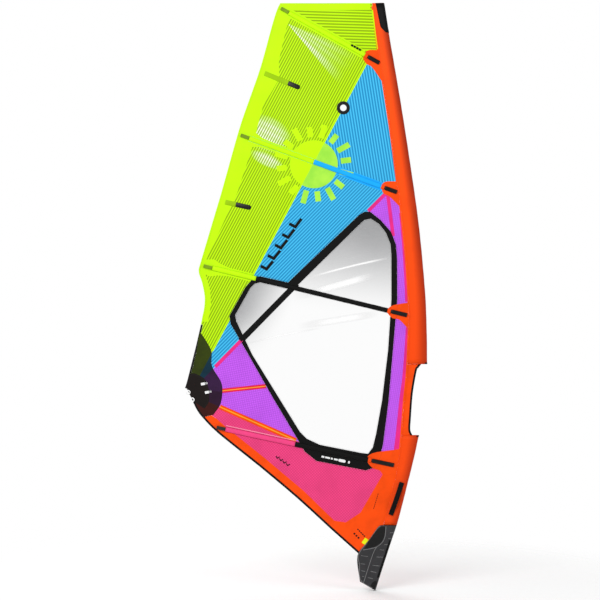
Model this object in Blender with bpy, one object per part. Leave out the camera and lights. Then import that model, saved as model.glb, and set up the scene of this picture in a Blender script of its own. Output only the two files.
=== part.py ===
"""Wave windsurf sail with four tensioned battens, a mast sleeve and a tack pulley.

The sail stands upright in the XZ plane. +X points to the mast side, +Z up the mast and
-Y is the face that carries the batten pockets. The origin is on the mast axis where the
mast enters the tack. All sizes are in metres.
"""
import math

import bmesh
import bpy
from mathutils import Matrix, Vector

# Cloth and film
PANEL = 0.001           # thickness of the flat panels
BOUND = 0.002           # thickness of the edge bindings
PATCH = 0.003           # thickness of the clew patch
GAP = 0.0003            # clearance between neighbours
BIND_WIDTH = 0.013
FRONT = -0.0013         # y of the plane that everything sewn on the face starts from

# Mast sleeve
WALL = 0.0012
SEAM_HALF = 0.0025      # half thickness of the sleeve's rear seam
RADIUS_HEAD = 0.0165
RADIUS_BASE = 0.021

# Battens
AXIS_RISE = 0.0078      # batten axis above the sail plane
HOUSING = (0.062, 0.024, 0.0125)
PLUG_START = 0.022
PLUG_LENGTH = 0.027
TRAVEL = 0.010
CAP_CLEAR = 0.018       # from a cap's square end to the sleeve's rear seam
CAP_WIDTH = 0.030
CAP_HEIGHT = 0.012
POCKET_WIDTH = 0.034

# Outline points (x, z)
LEECH_UPPER = [(-0.705, 3.870), (-0.728, 3.822), (-0.763, 3.710), (-0.840, 3.430), (-0.917, 3.206),
               (-0.994, 2.982), (-1.120, 2.534), (-1.253, 2.086), (-1.276, 1.995), (-1.253, 1.918),
               (-1.234, 1.820), (-1.237, 1.740), (-1.250, 1.675), (-1.260, 1.620)]
LEECH_LOWER = [(-1.260, 1.620), (-1.295, 1.470), (-1.351, 1.246), (-1.372, 1.176)]
CLEW_END = (-1.344, 1.134)
FOOT = [(-1.316, 1.078), (-1.288, 1.022), (-1.246, 0.966), (-1.134, 0.854), (-0.854, 0.630),
        (-0.588, 0.406), (-0.343, 0.182), (-0.160, 0.019)]
LUFF = [(0.020, 3.878), (0.056, 3.654), (0.133, 3.206), (0.203, 2.758), (0.266, 2.310), (0.308, 1.862),
        (0.3185, 1.638), (0.3225, 1.414), (0.318, 1.150), (0.290, 0.960), (0.261, 0.826),
        (0.231, 0.686), (0.189, 0.518), (0.147, 0.350), (0.111, 0.217)]
SEAM = [(-0.063, 3.878), (-0.021, 3.542), (0.063, 2.996), (0.112, 2.625), (0.137, 2.436),
        (0.175, 2.072), (0.195, 1.700), (0.181, 1.288), (0.161, 1.092), (0.133, 0.749),
        (0.094, 0.518), (0.052, 0.350), (0.018, 0.217)]
CUTOUT = [(0.281, 1.3427), (0.262, 1.318), (0.249, 1.293), (0.2226, 1.141), (0.2086, 0.959),
          (0.2050, 0.885), (0.219, 0.8463)]
CUTOUT_BIND = 0.010
HEAD_TOP = 3.870
CUTOUT_TOP = 1.343
CUTOUT_BASE = 0.846
TONGUE = [(0.016, 0.2170), (0.004, 0.150), (-0.030, 0.085), (-0.110, -0.020)]

WINDOW_FRAME = [(-0.077, 2.410), (-0.007, 2.356), (0.070, 2.270), (0.105, 2.180), (0.113, 2.080),
                (0.114, 1.792), (0.091, 1.512), (0.054, 1.092), (0.014, 0.777), (-0.010, 0.690),
                (-0.055, 0.616), (-0.105, 0.599), (-0.452, 0.665), (-0.536, 0.733), (-0.595, 0.836),
                (-0.7480, 1.092), (-0.983, 1.505), (-1.053, 1.624), (-1.061, 1.680), (-0.9485, 1.883),
                (-0.903, 1.936), (-0.847, 1.958), (-0.651, 1.915), (-0.154, 2.387), (-0.118, 2.409)]
WINDOW = [(-0.072, 2.361), (-0.014, 2.324), (0.035, 2.262), (0.067, 2.180), (0.072, 2.100),
          (0.072, 1.792), (0.049, 1.442), (0.007, 1.092), (-0.035, 0.854), (-0.058, 0.760),
          (-0.091, 0.716), (-0.140, 0.722), (-0.428, 0.779), (-0.520, 0.8220), (-0.568, 0.871),
          (-0.6265, 0.966), (-0.903, 1.414), (-1.013, 1.645), (-1.020, 1.687), (-0.9135, 1.876),
          (-0.885, 1.905), (-0.845, 1.915), (-0.640, 1.868), (-0.600, 1.878), (-0.161, 2.310),
          (-0.115, 2.352)]
CLEW_PATCH = [(-1.300, 1.580), (-1.254, 1.551), (-1.189, 1.4385), (-1.186, 1.330), (-1.126, 1.228),
              (-1.112, 1.162), (-1.126, 1.064), (-1.177, 0.988), (-1.290, 0.960), (-1.450, 1.050),
              (-1.450, 1.560)]

# Seam lines, each as two points
LIME_BLUE = ((-1.176, 1.435), (-0.101, 3.444))
DIAGONAL = ((-1.183, 1.302), (0.014, 2.520))
PINK_EDGE = ((-1.128, 1.044), (-0.588, 0.805))
FRAME_TIP = ((-1.300, 1.660), (-0.300, 1.660))
WINDOW_MIDDLE = ((-0.300, 0.500), (-0.300, 2.600))
PINK_LOWER = [(0.021, 0.6495), (0.021, 0.581), (-0.141, 0.302), (-0.246, 0.232), (-0.328, 0.244),
              (-0.545, 0.455), (-0.811, 0.679), (-1.091, 0.903), (-1.200, 1.000)]
PINK_REGION = [(-1.200, 1.0755), (-0.560, 0.7926), (-0.300, 0.720), (-0.060, 0.668)] + PINK_LOWER
TACK_REGION = [(-1.600, 1.000), (-1.200, 1.000)] + PINK_LOWER[-2::-1] + [
    (0.300, 0.590), (0.300, -0.300), (-0.300, -0.300)]
TAPE_WIDTH = 0.042

# Batten lines: leech end, luff end, length of the luff cap
BATTENS = [((-0.700, 3.833), (-0.003, 3.446), 0.102),
           ((-0.982, 2.946), (0.121, 2.543), 0.103),
           ((-1.242, 2.0306), (0.192, 1.683), 0.127),
           ((-1.150, 0.9005), (0.100, 0.633), 0.171)]
MINI_BATTENS = [((-0.815, 3.379), (-0.566, 3.276)), ((-1.090, 2.477), (-0.908, 2.436))]

EYELETS = {"clew_eyelet_upper": (-1.350, 1.146), "clew_eyelet_lower": (-1.3215, 1.0934)}
EYELET_HOLE = 0.009
EYELET_BARREL = 0.011
EYELET_FLANGE = 0.0165

TRIM_RING = (-0.264, 3.137)
HANDLE = ((0.145, 0.517), (0.067, 0.290))

# Fairing stations from the bottom up: luff edge point, rear edge point
FAIRING = [((-0.038, -0.239), (-0.148, -0.178)), ((0.020, -0.055), (-0.165, 0.001)),
           ((0.070, 0.097), (-0.090, 0.106)), ((0.098, 0.180), (-0.023, 0.200)),
           ((0.110, 0.2165), (0.000, 0.2165))]
FAIRING_WALL = 0.003
FAIRING_RADIUS = 0.026
NOSE_GAP = 0.0018

PULLEY_BAR = (-0.048, 0.000)
PIN_RADIUS = 0.003
SHEAVE_RADIUS = 0.010
SHEAVE_WIDTH = 0.0103
PIN_DROP = -0.029


def material(name, color, roughness=0.5, metallic=0.0):
    """Return the Principled material of that name."""
    mat = bpy.data.materials.get(name)
    if mat is None:
        mat = bpy.data.materials.new(name)
        mat.use_nodes = True
        shader = mat.node_tree.nodes["Principled BSDF"]
        shader.inputs["Base Color"].default_value = (*color, 1.0)
        shader.inputs["Roughness"].default_value = roughness
        shader.inputs["Metallic"].default_value = metallic
    return mat


LIME = ("lime_film", (0.45, 0.85, 0.0), 0.45)
BLUE = ("blue_film", (0.03, 0.40, 0.80), 0.45)
PURPLE = ("purple_film", (0.50, 0.09, 0.82), 0.5)
PINK = ("pink_film", (0.82, 0.05, 0.20), 0.5)
ORANGE = ("orange_cloth", (0.95, 0.07, 0.0), 0.6)
CLEAR = ("clear_film", (0.85, 0.87, 0.88), 0.15)
BLACK = ("black_tape", (0.012, 0.012, 0.012), 0.6)
GREY = ("grey_moulding", (0.05, 0.05, 0.05), 0.55)
OLIVE = ("olive_plastic", (0.20, 0.30, 0.01), 0.4)
ROD = ("batten_rod", (0.05, 0.05, 0.055), 0.35)
STEEL = ("steel", (0.62, 0.62, 0.63), 0.25, 1.0)
NYLON = ("nylon", (0.70, 0.70, 0.68), 0.4)


def finish(bm, name, look, smooth=False):
    """Turn the bmesh into a named object with its material."""
    mesh = bpy.data.meshes.new(name)
    bm.to_mesh(mesh)
    bm.free()
    obj = bpy.data.objects.new(name, mesh)
    bpy.context.scene.collection.objects.link(obj)
    mesh.materials.append(material(*look))
    if smooth:
        mesh.shade_smooth()
        mesh.set_sharp_from_angle(angle=math.radians(35))
    return obj


def curve(points, steps=3):
    """Smooth a polyline through its points with a Catmull-Rom curve."""
    pts = [Vector(p) for p in points]
    pts = [2 * pts[0] - pts[1]] + pts + [2 * pts[-1] - pts[-2]]
    out = []
    for a, b, c, d in zip(pts, pts[1:], pts[2:], pts[3:]):
        for k in range(steps):
            t = k / steps
            out.append(0.5 * (2 * b + (c - a) * t + (2 * a - 5 * b + 4 * c - d) * t * t
                              + (3 * b - a - 3 * c + d) * t ** 3))
    return out + [pts[-2]]


def offset(points, distance, closed=False):
    """Move a polyline sideways, to its left for a positive distance."""
    pts = [Vector(p) for p in points]
    out = []
    for i, p in enumerate(pts):
        before = pts[i - 1] if closed or i else p
        after = pts[(i + 1) % len(pts)] if closed or i + 1 < len(pts) else p
        d1 = (p - before).normalized() if p != before else (after - p).normalized()
        d2 = (after - p).normalized() if p != after else d1
        n = Vector((-d1.y - d2.y, d1.x + d2.x)).normalized()
        out.append(p + n * distance / max(0.35, n.dot(Vector((-d1.y, d1.x)))))
    return out


def x_at(line, z):
    """x of a luff or seam curve at height z."""
    for (x1, z1), (x2, z2) in zip(line, line[1:]):
        if (z1 - z) * (z2 - z) <= 0 and z1 != z2:
            return x1 + (x2 - x1) * (z - z1) / (z2 - z1)
    return line[-1][0] if z < line[-1][1] else line[0][0]


def plate(name, outline, y_low, y_high, look, clips=(), cuts=(), keep=None):
    """Extrude a flat outline from y_low to y_high, clipped by lines and cut by cutters."""
    bm = bmesh.new()
    bm.faces.new([bm.verts.new((p[0], y_low, p[1])) for p in outline])
    for (start, end), side in clips:
        start, end = Vector((start[0], 0, start[1])), Vector((end[0], 0, end[1]))
        along = (end - start).normalized()
        normal = Vector((along.z, 0, -along.x)) * side
        bmesh.ops.bisect_plane(bm, geom=bm.verts[:] + bm.edges[:] + bm.faces[:], dist=1e-7,
                               plane_co=start - normal * GAP / 2, plane_no=normal, clear_outer=True)
    face_up = bmesh.ops.extrude_face_region(bm, geom=bm.faces[:])
    moved = [v for v in face_up["geom"] if isinstance(v, bmesh.types.BMVert)]
    bmesh.ops.translate(bm, verts=moved, vec=(0, y_high - y_low, 0))
    bmesh.ops.recalc_face_normals(bm, faces=bm.faces[:])
    obj = finish(bm, name, look)
    for cutter in cuts:
        cut(obj, cutter)
    if keep:
        cut(obj, keep, "INTERSECT")
    return obj


def cut(obj, cutter, operation="DIFFERENCE"):
    """Add a Boolean with a hidden cutter."""
    mod = obj.modifiers.new("cut", "BOOLEAN")
    mod.operation = operation
    mod.solver = "EXACT"
    mod.object = cutter
    cutter.hide_render = True
    cutter.display_type = "WIRE"


def block(name, low, high, look, bevel=0.0):
    """A box between two corners, in the object's own axes, with bevelled edges."""
    bm = bmesh.new()
    bmesh.ops.create_cube(bm, size=1.0)
    low, high = Vector(low), Vector(high)
    bmesh.ops.scale(bm, verts=bm.verts[:], vec=high - low)
    bmesh.ops.translate(bm, verts=bm.verts[:], vec=(low + high) / 2)
    if bevel:
        bmesh.ops.bevel(bm, geom=bm.edges[:], offset=bevel, segments=2, profile=0.5, affect="EDGES")
    return finish(bm, name, look)


def turned(name, profile, look, sides=16, closed=False):
    """Spin a profile of (distance along local X, radius) about local X."""
    bm = bmesh.new()
    verts = [bm.verts.new((s, r, 0)) for s, r in profile]
    pairs = list(zip(verts, verts[1:])) + ([(verts[-1], verts[0])] if closed else [])
    edges = [bm.edges.new(pair) for pair in pairs]
    bmesh.ops.spin(bm, geom=verts + edges, axis=(1, 0, 0), cent=(0, 0, 0), steps=sides,
                   angle=math.tau, use_merge=True)
    bmesh.ops.remove_doubles(bm, verts=bm.verts[:], dist=1e-6)
    bmesh.ops.recalc_face_normals(bm, faces=bm.faces[:])
    return finish(bm, name, look, smooth=True)


def bar(name, profile, start, length, look, smooth=False):
    """Extrude a closed (across, up) profile along local X."""
    bm = bmesh.new()
    face = bm.faces.new([bm.verts.new((start, v, w)) for v, w in profile])
    extruded = bmesh.ops.extrude_face_region(bm, geom=[face])
    moved = [v for v in extruded["geom"] if isinstance(v, bmesh.types.BMVert)]
    bmesh.ops.translate(bm, verts=moved, vec=(length, 0, 0))
    bmesh.ops.recalc_face_normals(bm, faces=bm.faces[:])
    return finish(bm, name, look, smooth)


def place(obj, point, toward):
    """Stand an object on the sail: local X toward a point, local Z out of the face."""
    u = Vector((toward[0] - point[0], 0, toward[1] - point[1])).normalized()
    w = Vector((0, -1, 0))
    v = w.cross(u)
    basis = Matrix((u, v, w)).transposed().to_4x4()
    obj.matrix_world = Matrix.Translation((point[0], 0, point[1])) @ basis
    return obj


def loft(name, rings, look, thickness, closed=True, side=-1.0):
    """Skin rows of points and give the skin a wall."""
    bm = bmesh.new()
    rows = [[bm.verts.new(p) for p in ring] for ring in rings]
    count = len(rows[0])
    for low, high in zip(rows, rows[1:]):
        for i in range(count if closed else count - 1):
            j = (i + 1) % count
            bm.faces.new((low[i], low[j], high[j], high[i]))
    obj = finish(bm, name, look, smooth=True)
    mod = obj.modifiers.new("wall", "SOLIDIFY")
    mod.thickness = thickness
    mod.offset = side
    mod.use_even_offset = True
    return obj


# ---------------------------------------------------------------- flat panels

def membrane_outline():
    """The flat cloth inside the bindings, from the head round the leech and foot to the sleeve."""
    inner = BIND_WIDTH + GAP
    lift = Vector((0, 2 * GAP))
    bound = offset(curve(LEECH_LOWER), inner)
    outline = curve(LEECH_UPPER)[:-1]
    outline += [Vector(LEECH_LOWER[0]) + lift, bound[0] + lift] + bound[1:]
    outline += [Vector(CLEW_END)] + offset(curve(FOOT), inner)
    outline += [Vector(p) for p in reversed(TONGUE)]
    outline += [Vector((x_at(LUFF_LINE_SEAM, z) - GAP, z)) for z in seam_levels()]
    return outline


LUFF_LINE = curve(LUFF)
LUFF_LINE_SEAM = curve(SEAM)

# Sleeve sections: lower end, upper end, number of spans
SLEEVES = {"sleeve_lower": (0.2178, CUTOUT_BASE - GAP, 4), "sleeve_middle": (CUTOUT_TOP + GAP, 2.53, 6),
           "sleeve_upper": (2.53 + GAP, 3.43, 5), "sleeve_head": (3.43 + GAP, HEAD_TOP, 3)}
WAIST_LEVELS = [0.930, 1.010, 1.092, 1.170, 1.250]


def sleeve_levels(name):
    """Heights of one sleeve section's rings, from the bottom up."""
    low, high, steps = SLEEVES[name]
    return [low + (high - low) * k / steps for k in range(steps + 1)]


def seam_levels():
    """Heights of the points along the whole sleeve seam, from the bottom up."""
    levels = sleeve_levels("sleeve_lower") + WAIST_LEVELS
    for name in ("sleeve_middle", "sleeve_upper", "sleeve_head"):
        levels += sleeve_levels(name)
    return levels


def build_panels():
    """Window, window frame, clew patch and the coloured panels round them."""
    half = PANEL / 2
    membrane = membrane_outline()
    frame_cut = plate("cut_frame", offset(WINDOW_FRAME, GAP, closed=True), -0.01, 0.01, BLACK)
    window_cut = plate("cut_window", offset(WINDOW, GAP, closed=True), -0.01, 0.01, BLACK)
    patch_cut = plate("cut_patch", offset(CLEW_PATCH, GAP, closed=True), -0.012, 0.012, BLACK)
    patch_keep = plate("keep_patch", CLEW_PATCH, -0.01, 0.01, BLACK)
    cuts = (frame_cut, patch_cut)
    b1, b2, _, b4 = [(leech, luff) for leech, luff, _ in BATTENS]
    panels = {
        "head_panel": (LIME, [(b1, 1)]),
        "leech_panel_upper": (LIME, [(b1, -1), (b2, 1), (LIME_BLUE, 1)]),
        "leech_panel_lower": (LIME, [(b2, -1), (LIME_BLUE, 1)]),
        "upper_blue_panel": (BLUE, [(b1, -1), (b2, 1), (LIME_BLUE, -1)]),
        "centre_blue_panel": (BLUE, [(b2, -1), (LIME_BLUE, -1), (DIAGONAL, 1), (FRAME_TIP, 1)]),
        "clew_blue_panel": (BLUE, [(FRAME_TIP, -1), (LIME_BLUE, -1), (DIAGONAL, 1)]),
        "luff_purple_panel": (PURPLE, [(DIAGONAL, -1), (b2, -1), (b4, 1), (WINDOW_MIDDLE, -1)]),
        "clew_purple_panel": (PURPLE, [(DIAGONAL, -1), (PINK_EDGE, 1), (WINDOW_MIDDLE, 1)]),
    }
    for name, (look, clips) in panels.items():
        plate(name, membrane, -half, half, look, clips, cuts)
    for name, region, look in (("foot_panel", PINK_REGION, PINK), ("tack_panel", TACK_REGION, ORANGE)):
        keep = plate("keep_" + name, offset(region, -GAP / 2, closed=True), -0.01, 0.01, look)
        plate(name, membrane, -half, half, look, cuts=cuts, keep=keep)
    plate("window", WINDOW, -half, half, CLEAR)
    plate("window_frame", WINDOW_FRAME, -half, half, BLACK, cuts=(window_cut,))
    patch = plate("clew_patch", membrane, -PATCH / 2, PATCH / 2, GREY, keep=patch_keep)
    barrel = EYELET_BARREL + GAP
    for name, (x, z) in EYELETS.items():
        hole = turned("cut_" + name, [(-0.01, 0), (-0.01, barrel), (0.01, barrel), (0.01, 0)],
                      BLACK, 24)
        hole.matrix_world = Matrix.Translation((x, 0, z)) @ Matrix.Rotation(math.pi / 2, 4, "Z")
        cut(patch, hole)


def build_bindings():
    """Narrow tapes along the lower leech, the foot and the boom cutout."""
    for name, edge in (("leech_binding", LEECH_LOWER), ("foot_binding", FOOT)):
        line = curve(edge)
        plate(name, line + offset(line, BIND_WIDTH)[::-1], -BOUND / 2, BOUND / 2, BLACK)
    line = curve(CUTOUT)
    inner = offset(line, -CUTOUT_BIND)
    inner[0].y, inner[-1].y = CUTOUT_TOP, CUTOUT_BASE
    plate("cutout_binding", line + inner[::-1], -0.0016, 0.0016, BLACK)


def build_diagonal_tape():
    """Tape on the back of the window, along the diagonal seam."""
    start, end = (-0.985, 1.508), (-0.588, 1.907)
    side = (Vector(end) - Vector(start)).normalized() * TAPE_WIDTH / 2
    across = Vector((-side.y, side.x))
    outline = [Vector(start) - across, Vector(end) - across, Vector(end) + across, Vector(start) + across]
    plate("diagonal_tape", outline, 0.0008, 0.0016, BLACK)


# ---------------------------------------------------------------- mast sleeve

def sleeve_radius(z):
    """Radius of the sleeve's round front at height z."""
    return RADIUS_BASE + (RADIUS_HEAD - RADIUS_BASE) * min(1.0, max(0.0, (z - 0.3) / 3.5))


def sleeve_ring(z, arc=9):
    """Section of the sleeve at height z: round front, straight sides, narrow rear seam."""
    front, rear, r = x_at(LUFF_LINE, z), x_at(LUFF_LINE_SEAM, z) + GAP, sleeve_radius(z)
    centre = front - r
    reach = math.pi / 2 + math.asin((r - SEAM_HALF) / (centre - rear))
    ring = [Vector((rear, -SEAM_HALF, z))]
    for k in range(arc):
        angle = reach * (2 * k / (arc - 1) - 1)
        ring.append(Vector((centre + r * math.cos(angle), r * math.sin(angle), z)))
    return ring + [Vector((rear, SEAM_HALF, z))]


def build_sleeve():
    """Four open tubes of sleeve cloth and the flat stretch behind the boom cutout."""
    for name in SLEEVES:
        loft(name, [sleeve_ring(z) for z in sleeve_levels(name)], ORANGE, WALL)
    seam = [(x_at(LUFF_LINE_SEAM, z) + GAP, z) for z in WAIST_LEVELS]
    edge = offset(curve(CUTOUT), -CUTOUT_BIND - GAP)
    corners = [(x_at(LUFF_LINE_SEAM, z) + GAP, z) for z in (CUTOUT_TOP, CUTOUT_BASE)]
    edge[0].y, edge[-1].y = CUTOUT_TOP, CUTOUT_BASE
    plate("sleeve_waist", [corners[0]] + seam[::-1] + [corners[1]] + edge[::-1], -SEAM_HALF / 2,
          SEAM_HALF / 2, ORANGE)


def build_head():
    """Cup that the mast tip pushes against, and the patch over the head of the sleeve."""
    cup = [(0.0, 0.0), (0.0, 0.0138), (0.052, 0.0138), (0.058, 0.011), (0.060, 0.0)]
    body = turned("mast_tip_cup", cup, GREY, 16)
    bore = turned("cut_cup", [(-0.01, 0.0), (-0.01, 0.0108), (0.045, 0.0108), (0.048, 0.0)], GREY, 16)
    for obj in (body, bore):
        place(obj, (0.0157, 3.802), (0.0061, 3.862))
    cut(body, bore)
    rows = []
    for z in (3.665, 3.73, 3.80, 3.868):
        ring = sleeve_ring(z)
        r, centre = sleeve_radius(z), ring[5].x - sleeve_radius(z)
        skin = r + 2 * GAP
        row = [Vector((centre + skin * math.cos(a), skin * math.sin(a), z))
               for a in (-math.pi * k / 8 for k in range(5))]
        for share in (0.5, 1.0):
            point = row[4].lerp(ring[0] - Vector((0, 2 * GAP, 0)), share * 0.55)
            row.append(point)
        rows.append(row[::-1])
    loft("head_patch", rows, BLACK, 0.0012, closed=False, side=1.0)


# ---------------------------------------------------------------- battens

def arch(width, height, wall, foot, steps=8):
    """Closed profile of a cloth tunnel: flat flanges with an arch over the batten."""
    low = -FRONT
    top, half = height, foot
    outer = [(-half * math.cos(math.pi * k / steps), low + wall + (top - low - wall)
              * math.sin(math.pi * k / steps)) for k in range(steps + 1)]
    inner_half = half - wall
    inner = [(inner_half * math.cos(math.pi * k / steps), low + (top - low - wall)
              * math.sin(math.pi * k / steps)) for k in range(steps + 1)]
    flange = width / 2
    return ([(-flange, low), (-flange, low + wall)] + outer
            + [(flange, low + wall), (flange, low)] + inner)


def build_batten(number, leech, luff, cap_length):
    """One tensioned batten: pocket, tensioner housing with its screw, rod and luff cap."""
    length = math.dist(leech, luff) - CAP_CLEAR
    tag = f"_{number}"
    mouth = length - cap_length
    h_len, h_wide, h_high = HOUSING
    low = -FRONT
    housing = block("tensioner_housing" + tag, (0, -h_wide / 2, low), (h_len, h_wide / 2, low + h_high),
                    OLIVE, bevel=0.0025)
    bore = turned("cut_bore" + tag, [(-0.01, 0), (-0.01, 0.0025), (0.006, 0.0025), (0.006, 0.0054),
                                     (0.09, 0.0054), (0.09, 0)], OLIVE, 16)
    screw = turned("tension_screw" + tag,
                   [(0.009, 0), (0.0065, 0.002), (0.0065, 0.0049), (0.011, 0.0049), (0.011, PIN_RADIUS),
                    (0.036, PIN_RADIUS), (0.037, 0.002), (0.037, 0)], STEEL, 12)
    tip = length - 0.012 - TRAVEL - 0.002
    rod = turned("batten" + tag,
                 [(PLUG_START + 0.018, 0), (PLUG_START + 0.018, 0.0034), (PLUG_START, 0.0034),
                  (PLUG_START, 0.005), (PLUG_START + PLUG_LENGTH, 0.005),
                  (PLUG_START + PLUG_LENGTH + 0.001, 0.004), (0.5 * length, 0.0036),
                  (tip - 0.004, 0.0028), (tip, 0.0015), (tip, 0)], ROD, 12)
    for obj in (bore, screw, rod):
        obj.data.transform(Matrix.Translation((0, 0, AXIS_RISE)))
    cut(housing, bore)
    pocket = bar("batten_pocket" + tag, arch(POCKET_WIDTH, 0.0132, 0.001, 0.0085),
                 h_len + 0.0015, mouth - h_len - 0.0025, LIME if number < 3 else BLACK)
    cap = build_cap("batten_cap" + tag, mouth, length)
    hole = turned("cut_cap" + tag, [(mouth - 0.01, 0), (mouth - 0.01, 0.0046),
                                    (length - 0.012, 0.0046), (length - 0.010, 0)], BLACK, 12)
    hole.data.transform(Matrix.Translation((0, 0, AXIS_RISE)))
    cut(cap, hole)
    for obj in (housing, bore, screw, rod, pocket, cap, hole):
        place(obj, leech, luff)


def build_cap(name, start, end):
    """Bullet-shaped cap: round toward the leech, square at the sleeve."""
    half = CAP_WIDTH / 2
    bm = bmesh.new()
    nose = [(start + half * (1 - math.sin(math.pi * k / 8)), -half * math.cos(math.pi * k / 8))
            for k in range(9)]
    face = bm.faces.new([bm.verts.new((s, v, -FRONT)) for s, v in nose + [(end, half), (end, -half)]])
    top = bmesh.ops.extrude_face_region(bm, geom=[face])
    lid = [v for v in top["geom"] if isinstance(v, bmesh.types.BMVert)]
    bmesh.ops.translate(bm, verts=lid, vec=(0, 0, CAP_HEIGHT))
    bmesh.ops.recalc_face_normals(bm, faces=bm.faces[:])
    lid_edges = [e for e in bm.edges if all(v in lid for v in e.verts)]
    bmesh.ops.bevel(bm, geom=lid_edges, offset=0.003, segments=2, profile=0.5, affect="EDGES")
    return finish(bm, name, BLACK)


def build_mini_batten(number, outer, inner):
    """Short untensioned batten in its own pocket at the leech."""
    length = math.dist(outer, inner)
    low = -FRONT
    rod = block(f"mini_batten_{number}", (0.008, -0.008, low + 0.0012), (length - 0.008, 0.008, low + 0.0032),
                ROD)
    pocket = bar(f"mini_pocket_{number}", arch(0.036, 0.0068, 0.001, 0.0135), 0, length, OLIVE)
    for obj in (rod, pocket):
        place(obj, outer, inner)


# ---------------------------------------------------------------- fittings

def build_fittings():
    """Clew eyelets, trim ring and the carrying handle on the lower sleeve."""
    reach = PATCH / 2 + GAP
    flange = reach + 0.0014
    profile = [(-flange, EYELET_HOLE), (-flange, EYELET_FLANGE), (-reach, EYELET_FLANGE),
               (-reach, EYELET_BARREL), (reach, EYELET_BARREL), (reach, EYELET_FLANGE),
               (flange, EYELET_FLANGE), (flange, EYELET_HOLE)]
    for name, (x, z) in EYELETS.items():
        ring = turned(name, profile, STEEL, 24, closed=True)
        ring.matrix_world = Matrix.Translation((x, 0, z)) @ Matrix.Rotation(math.pi / 2, 4, "Z")
    disc = turned("trim_ring", [(0.0013, 0.024), (0.0021, 0.024), (0.0021, 0.046), (0.0013, 0.046)],
                  GREY, 32, closed=True)
    disc.matrix_world = Matrix.Translation((TRIM_RING[0], 0, TRIM_RING[1])) @ Matrix.Rotation(
        -math.pi / 2, 4, "Z")
    length = math.dist(*HANDLE)
    steps = 12
    arc = [(length * k / steps, 0.0222 + 0.019 * math.sin(math.pi * min(1, max(0, (k - 1.5) / 9))) ** 0.7)
           for k in range(steps + 1)]
    strap = curve(arc, 1)
    outline = [(p[0], p[1]) for p in strap] + [(p[0], p[1] + 0.003) for p in reversed(strap)]
    bm = bmesh.new()
    face = bm.faces.new([bm.verts.new((s, -0.017, w)) for s, w in outline])
    extruded = bmesh.ops.extrude_face_region(bm, geom=[face])
    side = [v for v in extruded["geom"] if isinstance(v, bmesh.types.BMVert)]
    bmesh.ops.translate(bm, verts=side, vec=(0, 0.034, 0))
    bmesh.ops.recalc_face_normals(bm, faces=bm.faces[:])
    place(finish(bm, "sleeve_handle", BLACK), *HANDLE)


def fairing_row(front, rear, side, count=10):
    """One section of a fairing shell from the luff edge to the rear rim."""
    front, rear = Vector(front), Vector(rear)
    span = (rear - front).length
    rim = 0.0013 + FAIRING_WALL
    row = []
    for k in range(count):
        share = (k / (count - 1)) ** 1.6
        d = span * share
        if d < FAIRING_RADIUS:
            y = math.sqrt(FAIRING_RADIUS ** 2 - (FAIRING_RADIUS - d) ** 2)
        else:
            fade = (d - FAIRING_RADIUS) / (span - FAIRING_RADIUS)
            y = FAIRING_RADIUS + (rim - FAIRING_RADIUS) * fade
        point = front.lerp(rear, share)
        row.append(Vector((point.x, side * max(y, NOSE_GAP), point.y)))
    return row


def build_fairing():
    """Two moulded halves of the tack fairing, the flap in front and the shell behind."""
    for name, side in (("fairing_shell", 1), ("fairing_flap", -1)):
        rows = [fairing_row(front, rear, side) for front, rear in FAIRING]
        obj = loft(name, rows, GREY, FAIRING_WALL, closed=False, side=-1.0)
        if side < 0:
            obj.data.flip_normals()


def build_pulley():
    """Tack pulley: webbing loop, frame that swings on it, pin and three sheaves."""
    x, z = PULLEY_BAR
    pin_point = (x, z)
    toward = (x + 0.95, z - 0.312)
    frame = block("pulley_frame", (-0.019, -0.043, -0.0105), (0.019, 0.0025, 0.0105), STEEL, bevel=0.0012)
    inside = SHEAVE_WIDTH * 1.5 + 3 * GAP
    sheave_gap = block("cut_sheaves", (-inside, -0.06, -0.03), (inside, -0.014, 0.03), STEEL)
    loop_gap = block("cut_loop", (-0.0155, -0.0105, -0.03), (0.0155, -0.0025, 0.03), STEEL)
    relief = [block("cut_front", (-0.0155, -0.0106, 0.0028), (0.0155, 0.02, 0.03), STEEL),
              block("cut_back", (-0.0155, -0.0106, -0.03), (0.0155, 0.02, -0.0028), STEEL)]
    pin_hole = turned("cut_pin", [(-0.03, 0), (-0.03, PIN_RADIUS + GAP), (0.03, PIN_RADIUS + GAP),
                                  (0.03, 0)], STEEL, 16)
    pin = turned("pulley_pin", [(-0.0195, 0), (-0.0195, PIN_RADIUS), (0.0195, PIN_RADIUS), (0.0195, 0)],
                 STEEL, 16)
    for obj in (pin_hole, pin):
        obj.data.transform(Matrix.Translation((0, PIN_DROP, 0)))
    for cutter in (sheave_gap, loop_gap, *relief, pin_hole):
        cut(frame, cutter)
    for obj in (frame, sheave_gap, loop_gap, *relief, pin_hole, pin):
        place(obj, pin_point, toward)
    bore, edge, groove = PIN_RADIUS + 0.0002, SHEAVE_RADIUS, SHEAVE_RADIUS - 0.0028
    for number in range(3):
        s0 = -inside + GAP * 1.5 + number * (SHEAVE_WIDTH + GAP)
        s1 = s0 + SHEAVE_WIDTH
        wheel = turned(f"sheave_{number + 1}",
                       [(s0, bore), (s0, edge), (s0 + 0.0015, edge), (s0 + 0.004, groove),
                        (s1 - 0.004, groove), (s1 - 0.0015, edge), (s1, edge), (s1, bore)],
                       NYLON, 20, closed=True)
        axis_point = (x + 0.312 * PIN_DROP, z + 0.95 * PIN_DROP)
        place(wheel, axis_point, (axis_point[0] + 0.95, axis_point[1] - 0.312))
    place(webbing_loop(), pin_point, toward)


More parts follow.
